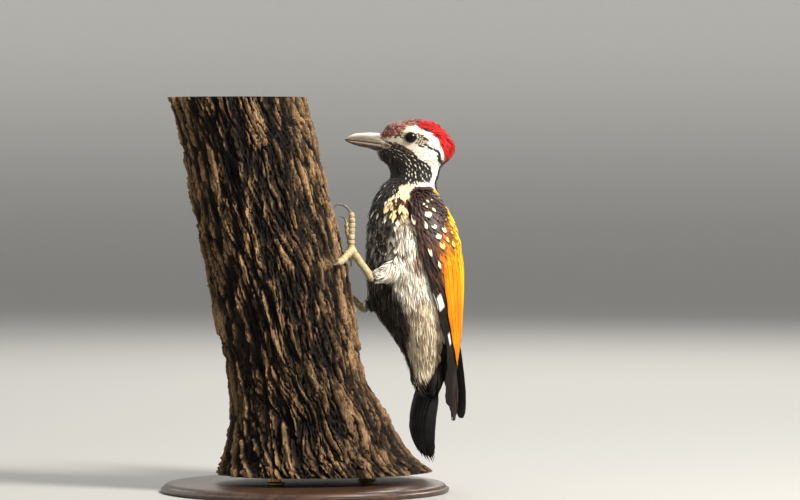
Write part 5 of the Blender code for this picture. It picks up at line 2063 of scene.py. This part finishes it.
class WOODPECKER_OT_wings(Operator):
    """Makes both folded wings: their bases, flight feathers and coverts"""

    bl_idname = "woodpecker.wings"
    bl_label = "Wings"

    def execute(self, context):
        choices = context.scene.woodpecker_wing
        material = feather_material("wing feathers", 0.5, barbs=14.0, streaks=0.5, height=0.08,
                                    Sheen_Weight=0.05, Specular_IOR_Level=0.35)
        flight = feather_material("flight feathers", 0.52, barbs=60.0, streaks=0.25, height=0.04,
                                  barb_grain=6.0, Specular_IOR_Level=0.2)
        for side in SIDES:
            wing = WingSurface(side)
            self.base(side, wing, choices)
            self.long_ones(side, wing, choices, flight)
            self.coverts(side, wing, choices, material)
        return {"FINISHED"}

    def base(self, side, wing, choices):
        """A closed thin shell that the feathers lie on."""
        heights = np.linspace(wing.heights[0] + 0.4, wing.heights[-1] - 0.4, 96)
        shares = np.linspace(0.04, 0.96, 26)
        rows, columns = np.meshgrid(heights, shares, indexing="ij")
        outer, inner = wing.table(wing.outer, rows, columns), wing.table(wing.inner, rows, columns)
        outer_at = np.maximum(inner + 0.3 * (outer - inner), outer - 1.45 - 1.6 * ease(rows, 199, 207))
        inner_at = np.minimum(inner + 0.1, outer_at - 0.15)
        top = wing.at(rows, columns, outer_at - outer)
        under = wing.at(rows, columns, inner_at - outer)
        if wing.sign > 0:
            top, under = top[:, ::-1], under[:, ::-1]
        points = np.concatenate((top, under[:, ::-1]), axis=1)
        ring = points.shape[1]
        quads = grid_quads(len(heights), ring, wraps=True)
        cap = np.arange(ring // 2 - 1)
        low_cap = np.stack((cap, cap + 1, ring - 2 - cap, ring - 1 - cap), axis=1)
        high_cap = low_cap[:, ::-1] + (len(heights) - 1) * ring
        points = points.reshape(-1, 3)
        faces = np.concatenate((quads, low_cap[:, ::-1], high_cap[:, ::-1]))
        shell = add_mesh("wing_base_" + side, points, faces)
        face_outward(shell)
        height, share = wing.place(points)
        colour, _ = wing_colours(height, share, choices, np.full(len(points), 0.3))
        colour[height < 150] = chosen(choices.primaries) * 1.1
        paint(shell, "ground_colour", linear(colour * 0.8))
        made, tree, shader = new_material("wing base " + side, 0.75)
        mask, bumps = grain(tree, 0.8, 1.6, stretch=7.0)
        ground = stored(tree, "ground_colour", "Color")
        tree.links.new(mixed(tree, mask, ground, (0.4, 0.38, 0.36), "MULTIPLY"), shader.inputs["Base Color"])
        bump(tree, shader, bumps, 0.4, 0.15)
        settle(shell, made, ("wing_" + side,))
        self.shell = shell

    def long_ones(self, side, wing, choices, material):
        """Black primaries below, golden secondaries over them."""
        count = len(PRIMARY_TIPS)
        look = Look(count)
        black = chosen(choices.primaries)
        shades = np.linspace(0.9, 1.2, count)[:, None]
        look.set(slice(None), black * shades, mark=PRIMARY_SHAFT, trim=(0, 0, 0.55))
        piece = long_feathers("primaries_" + side, wing, OUTER_PRIMARY, INNER_PRIMARY, 168.0, PRIMARY_TIPS,
                              8.6, -0.45, -0.9, -0.15, look, material, rows=96, seed=131, full=True)
        points = points_of(piece)
        height, share = wing.place(points)
        shown = np.zeros(len(points))
        for middle_height, first, last, length in WHITE_BLOCKS:
            slant = middle_height + 34 * (share - (first + last) / 2)
            block = ease(-np.abs(height - slant), -length / 2 - 0.5, -length / 2 + 0.5)
            block = block * ease(share, first - 0.008, first + 0.008)
            block = block * ease(-share, -last - 0.008, -last + 0.008)
            shown = np.maximum(shown, block)
        ground = blend(black * 1.05, BLOCK_WHITE, shown)
        purple = ease(cloud(drawn_out(points, 0.1), 1.6, 135), 0.0, 0.7) * (1 - shown) * 0.5
        purple = purple * ease(height, 60, 150)
        ground = blend(ground, chosen(choices.shoulder) * 1.25, purple)
        paint(piece, "ground_colour", linear(ground))

        look = Look(len(SECONDARY_TIPS))
        gold, yellow, olive = chosen(choices.gold), chosen(choices.yellow), chosen(choices.olive)
        look.set(slice(None), gold, mark=gold * np.array((0.55, 0.42, 0.3)), trim=(0, 0, 0.35))
        piece = long_feathers("secondaries_" + side, wing, OUTER_SECONDARY, INNER_SECONDARY, 170.0,
                              SECONDARY_TIPS, 10.4, -0.25, -0.2, 0.7, look, material, rows=60, seed=132,
                              sink=1.3)
        points = points_of(piece)
        height, share = wing.place(points)
        edge = share - np.interp(height, *zip(*GOLD_FROM))
        # rusty brown along the black, orange in the middle, yellow along the back
        ground = blend(RUST, gold, ease(edge, 0.0, 0.13))
        ground = blend(ground, yellow, ease(share, 0.5, 0.74) * ease(height, 96, 138))
        streaks = layered_cloud(drawn_out(points, 0.06), 2.4, 136)
        ground = ground * (1.0 + 0.22 * streaks[:, None] * np.array((0.8, 1.1, 1.3)))
        ground = blend(ground, olive * 0.9,
                       ease(streaks, 0.35, 0.7) * 0.55 * ease(height, 118, 150))
        ground = blend(ground, ground * np.array((1.04, 0.97, 0.7)), ease(-height, -112, -84))
        paint(piece, "ground_colour", linear(np.clip(ground, 0, 255)))

    def coverts(self, side, wing, choices, material):
        """Rows of small feathers over the shoulder, and the ones that carry the spots."""
        coat = Coat(self.shell)
        random = draws(141)

        def outside(spots):
            height, share = wing.place(spots)
            outer = wing.table(wing.outer, height, np.clip(share, 0.03, 0.97))
            x = spots[:, 0] - np.interp(height, wing.heights, wing.axis)
            reach = np.hypot(x, spots[:, 1])
            lower = np.interp(share, (0.0, 0.12, 0.3, 0.6, 0.8, 1.0), (144, 146, 150, 156, 150, 134))
            shown = (outer - reach < 1.75 + 1.8 * ease(height, 198, 206)) | (height > wing.heights[-1] - 1.2)
            return (height > lower) & shown

        def spacing(points):
            return 1.5 + 1.0 * ease(-points[:, 2], -200, -170)

        roots = scatter(self.shell, spacing, 142, keep=outside)

        def flow(points):
            height, share = wing.place(points)
            below = wing.at(height - 3.0, share, 0.0)
            here = wing.at(height, share, 0.0)
            top = wing.heights[-1]
            over = wing.way(height, share) * 5.0 * ease(height, top - 2.5, top)[:, None]
            return unit(below - here + over + 0.12 * swirl(points, 5, 66))

        height, share = wing.place(roots)
        length = 4.2 + 5.5 * ease(-height, -202, -168)
        length += 4.0 * ease(-share, -0.3, -0.1) * ease(-height, -185, -160)
        length += 3.0 * ease(-height, -172, -158)
        length *= random.uniform(0.88, 1.12, len(roots))
        width = np.clip(length * 0.56, 2.4, 5.0)
        width = np.where(share < 0.22, width * 0.62, width)
        rise = 1.3 + 0.75 * ease(-height, -176, -160) * ease(share, 0.1, 0.2) + 1.6 * ease(height, 199, 207)
        rise = rise * random.uniform(0.85, 1.1, len(roots))
        seen = shown_points(coat.tree, roots, flow, length)
        seen_height, seen_share = wing.place(seen)
        look = self.edged(wing_colours(seen_height, seen_share, choices, random.random(len(roots)))[0])
        unwrap = np.stack((0.02 + 0.95 * np.clip(share, 0, 1), 0.02 + 0.95 * (height - 120) / 90), axis=1)
        style = dict(material=material, rows=6, slot="wing_feathers", columns=7, thick=0.12, fray=0.07,
                     round_tip=0.3, camber=0.12)
        coat.grow("coverts_" + side, roots, flow, length, width, rise, look, seed=143, sink=0.1,
                  unwrap=unwrap, **style)

        # a row round the top edge of the shoulder
        edge, drop = np.meshgrid(np.linspace(0.04, 0.96, 26), (0.0, 1.2, 2.4))
        edge, drop = edge.ravel() + random.uniform(-0.012, 0.012, edge.size), drop.ravel()
        starts = wing.at(wing.heights[-1] - 0.5 - drop, edge, -3.0)
        level = np.full(len(starts), 203.0)
        look = self.edged(wing_colours(level, edge, choices, random.random(len(starts)))[0])
        unwrap = np.stack((0.02 + 0.9 * edge, 0.02 + 0.3 * drop), axis=1)
        length = random.uniform(4.6, 5.8, len(starts))
        coat.grow("shoulder_" + side, starts, flow, length, length * 0.56, np.full(len(starts), 2.7), look,
                  seed=145, sink=-0.3, unwrap=unwrap, shape=EDGE_SHAPE, **style)

        # the spotted ones lie on top
        heights, shares, wide, tall = np.array(WING_SPOTS).T
        length, width = np.maximum(tall * 1.5, 5.0), np.maximum(wide * 1.45, 3.0)
        starts = wing.at(heights + tall * 0.5 + 1.2, shares, -1.2)
        start_height, start_share = wing.place(starts)
        near_colour, golden = wing_colours(heights, shares, choices, np.full(len(heights), 0.45))
        look = Look(len(heights))
        look.set(slice(None), near_colour, mark=chosen(choices.spots) * np.array((1.0, 0.98, 0.93)))
        reach = (tall * 0.5 + 1.2) / length
        look.spot = np.stack((reach, tall / 2 / length, wide / width), axis=1)
        look.mark[golden > 0.5] = chosen(choices.spots) * np.array((0.93, 0.84, 0.58))
        unwrap = np.stack((0.02 + 0.95 * start_share, 0.02 + 0.95 * (start_height - 120) / 90), axis=1)
        rise = 1.75 + 0.6 * ease(-heights, -176, -162)
        style.update(rows=7, fray=0.05, round_tip=0.28, camber=0.1)
        coat.grow("spotted_coverts_" + side, starts, flow, length, width, rise, look, seed=144, sink=0.0,
                  unwrap=unwrap, **style)

    @staticmethod
    def edged(colours):
        """The look of coverts with a slightly paler border and shaft."""
        look = Look(len(colours))
        look.set(slice(None), colours, mark=colours * np.array((1.45, 1.3, 1.15)) + 8, trim=(0.10, 0, 0.25))
        return look


# ---------------------------------------------------------------- tail

TAIL_TIPS = ((17.6, 2.2), (18.8, 5.6), (20.6, 9.0), (24.0, 12.0), (30.0, 14.4), (44.0, 15.4))  # height, side
TAIL_WIDTH = 8.8


class WOODPECKER_OT_tail(Operator):
    """Makes the twelve stiff tail feathers and the coverts at their root"""

    bl_idname = "woodpecker.tail"
    bl_label = "Tail"

    def execute(self, context):
        choices = context.scene.woodpecker_wing
        tree = node_tree("tail")
        heights = np.linspace(box("tail")[0][2] + 0.3, 80.0, 60)
        shares = np.linspace(-0.94, 0.94, 21)
        half, front, back = [], [], []
        for height in heights:
            reach = 0.5
            for y in np.arange(0.5, 20, 0.25):
                if tree.ray_cast(Vector((0.0, y * MM, height * MM)), Vector((1, 0, 0)))[0] is not None:
                    reach = y
            half.append(reach)
            for store, start, way in ((front, 0.0, 1), (back, 0.2, -1)):
                row = []
                for share in shares:
                    origin = Vector((start, share * reach * MM, height * MM))
                    hit = tree.ray_cast(origin, Vector((way, 0, 0)))[0]
                    row.append(None if hit is None else hit[0] / MM)
                store.append(filled(row))
        half, front, back = np.array(half), np.array(front), np.array(back)

        def at(height, y, layer):
            share = y / np.interp(height, heights, half)
            faces = [looked_up(table, heights, shares, height, share) for table in (front, back)]
            x = faces[0] + (faces[1] - faces[0]) * layer
            low_down = ease(-height, -76, -56)  # the left half lies a little further back than the right one
            x = x + 3.6 * np.clip(-y / 14, 0, 1) * low_down
            x = x - 2.9 * np.clip(y / 14, 0, 1) * ease(height, 24, 44) * ease(-height, -82, -74)
            return np.stack((x, y, height), axis=-1)

        spread = np.array((-1, -0.75, -0.45, -0.2, -0.07, 0.0, 0.07, 0.2, 0.45, 0.75, 1.0))
        rows = 40
        share = np.linspace(0, 1, rows) ** 0.9
        shape = np.interp(share, (0, 0.15, 0.5, 0.85, 0.95, 1), (0.6, 0.9, 1, 0.95, 0.72, 0.25))
        random = draws(151)
        centre, reaches = [], []
        for number, (tip, side) in enumerate(TAIL_TIPS):
            for sign in (-1, 1):
                span = 78.0 - tip
                reach = share[:, None] - 0.05 * np.abs(spread) * ease(share, 0.6, 1)[:, None]
                worn = random.uniform(-0.004, 0.004, reach.shape) * (np.abs(spread) > 0.9)
                reach = np.clip(reach + worn, 0, 1)
                height = 78.0 - span * reach
                line = side * (0.6 + 0.4 * ease(share, 0.0, 0.6)) + 0.35 * number * ease(-share, -0.5, 0)
                line = sign * line
                y = line[:, None] + spread[None, :] * shape[:, None] * TAIL_WIDTH / 2
                limit = np.maximum(np.interp(height, heights, half), 14.0 * ease(height, 14, 30))
                y = np.clip(y, -limit, limit)
                inner = -sign * spread[None, :]  # +1 at the web nearer the middle
                layer = 0.88 - 0.085 * number + 0.04 * inner - 0.02 * sign
                layer = np.broadcast_to(layer, y.shape) + 0.10 * np.exp(-((spread / 0.08) ** 2))
                centre.append(at(height, y, np.clip(layer, 0.03, 1.0)))
                reaches.append(reach)
        centre, reaches = np.array(centre), np.array(reaches)
        normal = np.broadcast_to(np.array((1.0, 0.0, 0.0)), centre.shape)
        body = np.array((0.05, 0.12, 0.16, 0.2, 0.36, 0.5, 0.36, 0.2, 0.16, 0.12, 0.05))
        body = body * (1 - 0.5 * share)[:, None]
        look = Look(len(centre))
        black = chosen(choices.primaries)
        look.set(slice(None), black * np.repeat(np.linspace(0.7, 1.0, 6), 2)[:, None],
                 mark=TAIL_SHAFT, trim=(0, 0, 0.7))
        material = feather_material("tail feathers", 0.6, barbs=50.0, streaks=0.5, height=0.05,
                                    Specular_IOR_Level=0.16)
        aside = np.broadcast_to(spread, reaches.shape)
        piece = close_vanes("tail_feathers", centre, normal, body, aside, reaches, look, None, 152,
                            sharp_over=80)
        face_outward(piece)
        settle(piece, material, ("tail",))

        # the root of the tail, and the coverts over it
        root = copy_of(["tail"], "tail_root")
        cut_away(root, 63.0 * UP, -UP)
        fuse(root, 1.0, smoothing=4)
        thin = 1.0 + 2.0 * ease(-points_of(root)[:, 2], -76, -63)
        move_points(root, points_of(root) - normals_of(root) * thin[:, None])
        plain, tree, shader = new_material("tail root", 0.8)
        shades = mixed(tree, grain(tree, 0.8, 1.5)[0], linear(black * 0.7), linear(black * 1.2))
        tree.links.new(shades, shader.inputs["Base Color"])
        settle(root, plain)
        coat = Coat(root)
        roots = scatter(root, lambda points: np.full(len(points), 1.7), 153, lambda spots: spots[:, 2] > 65)

        def down(points):
            return unit(-UP + 0.12 * swirl(points, 6, 71))

        length = np.minimum(9.0 * random.uniform(0.85, 1.15, len(roots)), roots[:, 2] - 56.0)
        look = Look(len(roots))
        look.set(slice(None), black * random.uniform(0.6, 1.3, len(roots))[:, None])
        rise = 1.0 + 2.2 * ease(-roots[:, 0], -84, -74) * random.uniform(0.6, 1.2, len(roots))
        coat.grow("tail_coverts", roots, down, length, random.uniform(1.0, 1.7, len(roots)), rise, look,
                  soft_plumage(), rows=5, slot="tail_feathers", columns=3, thick=0.16, fray=0.3, seed=154,
                  round_tip=0.15, camber=0.5, shape=LOCK_SHAPE)
        return {"FINISHED"}


# ---------------------------------------------------------------- feet

SCALE_STEP = 1.25  # distance between the scutes along a toe
PAD_STEP = 3.7  # distance between the knobs of a toe


class WOODPECKER_OT_feet(Operator):
    """Makes the scaled shanks and toes, and the claws"""

    bl_idname = "woodpecker.feet"
    bl_label = "Feet"

    def execute(self, context):
        choices = context.scene.woodpecker_horn
        skin, tree, shader = new_material("scaled leg skin", 0.55, Specular_IOR_Level=0.4)
        crease = stored(tree, "crease")
        mask, height = grain(tree, 0.6, 1.7)
        leg, dark = dye(choices.leg_colour), dye(choices.leg_dark_colour)
        colour = mixed(tree, mask, leg * 0.66, leg * 1.16)
        colour = mixed(tree, times(tree, grain(tree, 2.6, 2.6)[0], 0.65), colour, dark)
        tree.links.new(mixed(tree, crease, colour, dark * 0.7), shader.inputs["Base Color"])
        bump(tree, shader, height, 0.5, 0.12)
        horn, tree, shader = new_material("claw horn", 0.3, Specular_IOR_Level=0.5)
        tint = dye(choices.claw_colour)
        pale = mixed(tree, grain(tree, 0.8, 1.5)[0], tint * 0.6, tint * 1.5)
        tree.links.new(mixed(tree, stored(tree, "base"), pale, tint * 2.2), shader.inputs["Base Color"])
        for side in SIDES:
            nodes = ["foot_" + side, *TOES[side]]
            foot = copy_of(nodes, "foot_skin_" + side, grow=0.28)
            fuse(foot, 0.42, smoothing=3)
            points, normals = points_of(foot), normals_of(foot)
            best, along, on_toe = np.full(len(points), 1e9), np.zeros(len(points)), np.zeros(len(points))
            for which, bone in enumerate(node_points(node) for node in nodes):
                centre = bone.mean(axis=0)
                axes = np.linalg.svd(bone - centre, full_matrices=False)[2]
                bone_tree = point_tree(bone)
                gap = np.array([bone_tree.find(point)[2] for point in points])
                closer = gap < best
                best = np.where(closer, gap, best)
                along = np.where(closer, (points - centre) @ axes[0], along)
                on_toe = np.where(closer, float(which > 0), on_toe)
            away = unit(np.stack((points[:, 0] - 10, points[:, 1], points[:, 2] * 0), axis=1))
            upper = ease(np.sum(normals * away, axis=1), -0.35, 0.35)  # the scutes face away from the bark
            wave = np.abs(np.sin(np.pi * (along + 0.25 * cloud(points, 2.0, 91)) / SCALE_STEP))
            scute = ease(wave, 0.0, 0.45)
            pebble = cloud(points, 0.7, 92)
            beat = np.abs(np.sin(np.pi * (along + 0.6 * cloud(points, 4.0, 94)) / PAD_STEP))
            pad, joint = on_toe * ease(beat, 0.1, 0.85), on_toe * (1 - ease(beat, 0.0, 0.3))
            push = 0.30 + 0.20 * scute * upper + 0.07 * pebble * (1 - upper) + 0.3 * cloud(points, 3.2, 93)
            push += 0.5 * (pad - 0.6 * on_toe)
            move_points(foot, points + normals * push[:, None])
            crease = (1 - scute) * upper * 0.85 + (1 - upper) * (0.25 + 0.35 * pebble)
            paint(foot, "crease", np.clip(np.maximum(crease, 0.8 * joint), 0, 1))
            settle(foot, skin, nodes)
            for node in CLAWS[side]:
                claw = copy_of([node], node.replace("claw_", "talon_"))
                smooth = claw.modifiers.new("round", "SUBSURF")
                smooth.levels = smooth.render_levels = 2
                apply_modifiers(claw)
                claw.data.shade_smooth()
                shape = points_of(claw)
                apart = np.linalg.norm(shape - points_of(foot)[::7].mean(axis=0), axis=1)
                paint(claw, "base", ease(-apart, -np.percentile(apart, 45), -apart.min()))
                settle(claw, horn, (node,))
        return {"FINISHED"}


# ---------------------------------------------------------------- panel and running order

CHOICES = {
    "woodpecker_stage": StageChoices,
    "woodpecker_bark": BarkChoices,
    "woodpecker_stand": StandChoices,
    "woodpecker_plumage": PlumageChoices,
    "woodpecker_eye": EyeChoices,
    "woodpecker_horn": HornChoices,
    "woodpecker_wing": WingChoices,
}
OPERATORS = [
    WOODPECKER_OT_stage,
    WOODPECKER_OT_perch,
    WOODPECKER_OT_stand,
    WOODPECKER_OT_skin,
    WOODPECKER_OT_eyes,
    WOODPECKER_OT_bill,
    WOODPECKER_OT_head_plumage,
    WOODPECKER_OT_body_plumage,
    WOODPECKER_OT_wings,
    WOODPECKER_OT_tail,
    WOODPECKER_OT_feet,
]


class WOODPECKER_PT_panel(Panel):
    """Lists what can be changed, and the operators that make the pieces"""

    bl_label = "Woodpecker"
    bl_space_type = "VIEW_3D"
    bl_region_type = "UI"
    bl_category = "Woodpecker"

    def draw(self, context):
        for holder in CHOICES:
            group = getattr(context.scene, holder)
            part = self.layout.box()
            part.label(text=holder.replace("woodpecker_", "").capitalize())
            for name in group.__annotations__:
                part.prop(group, name)
        for operator in OPERATORS:
            self.layout.operator(operator.bl_idname)


def register():
    for kind in [*CHOICES.values(), *OPERATORS, WOODPECKER_PT_panel]:
        bpy.utils.register_class(kind)
    for holder, kind in CHOICES.items():
        setattr(bpy.types.Scene, holder, PointerProperty(type=kind))


def unregister():
    for holder in CHOICES:
        delattr(bpy.types.Scene, holder)
    for kind in [WOODPECKER_PT_panel, *reversed(OPERATORS), *reversed(CHOICES.values())]:
        bpy.utils.unregister_class(kind)


def main():
    register()
    bpy.ops.woodpecker.stage()
    bpy.ops.woodpecker.perch()
    bpy.ops.woodpecker.stand()
    bpy.ops.woodpecker.skin()
    bpy.ops.woodpecker.eyes()
    bpy.ops.woodpecker.bill()
    bpy.ops.woodpecker.head_plumage()
    bpy.ops.woodpecker.body_plumage()
    bpy.ops.woodpecker.wings()
    bpy.ops.woodpecker.tail()
    bpy.ops.woodpecker.feet()


if __name__ == "__main__":
    main()
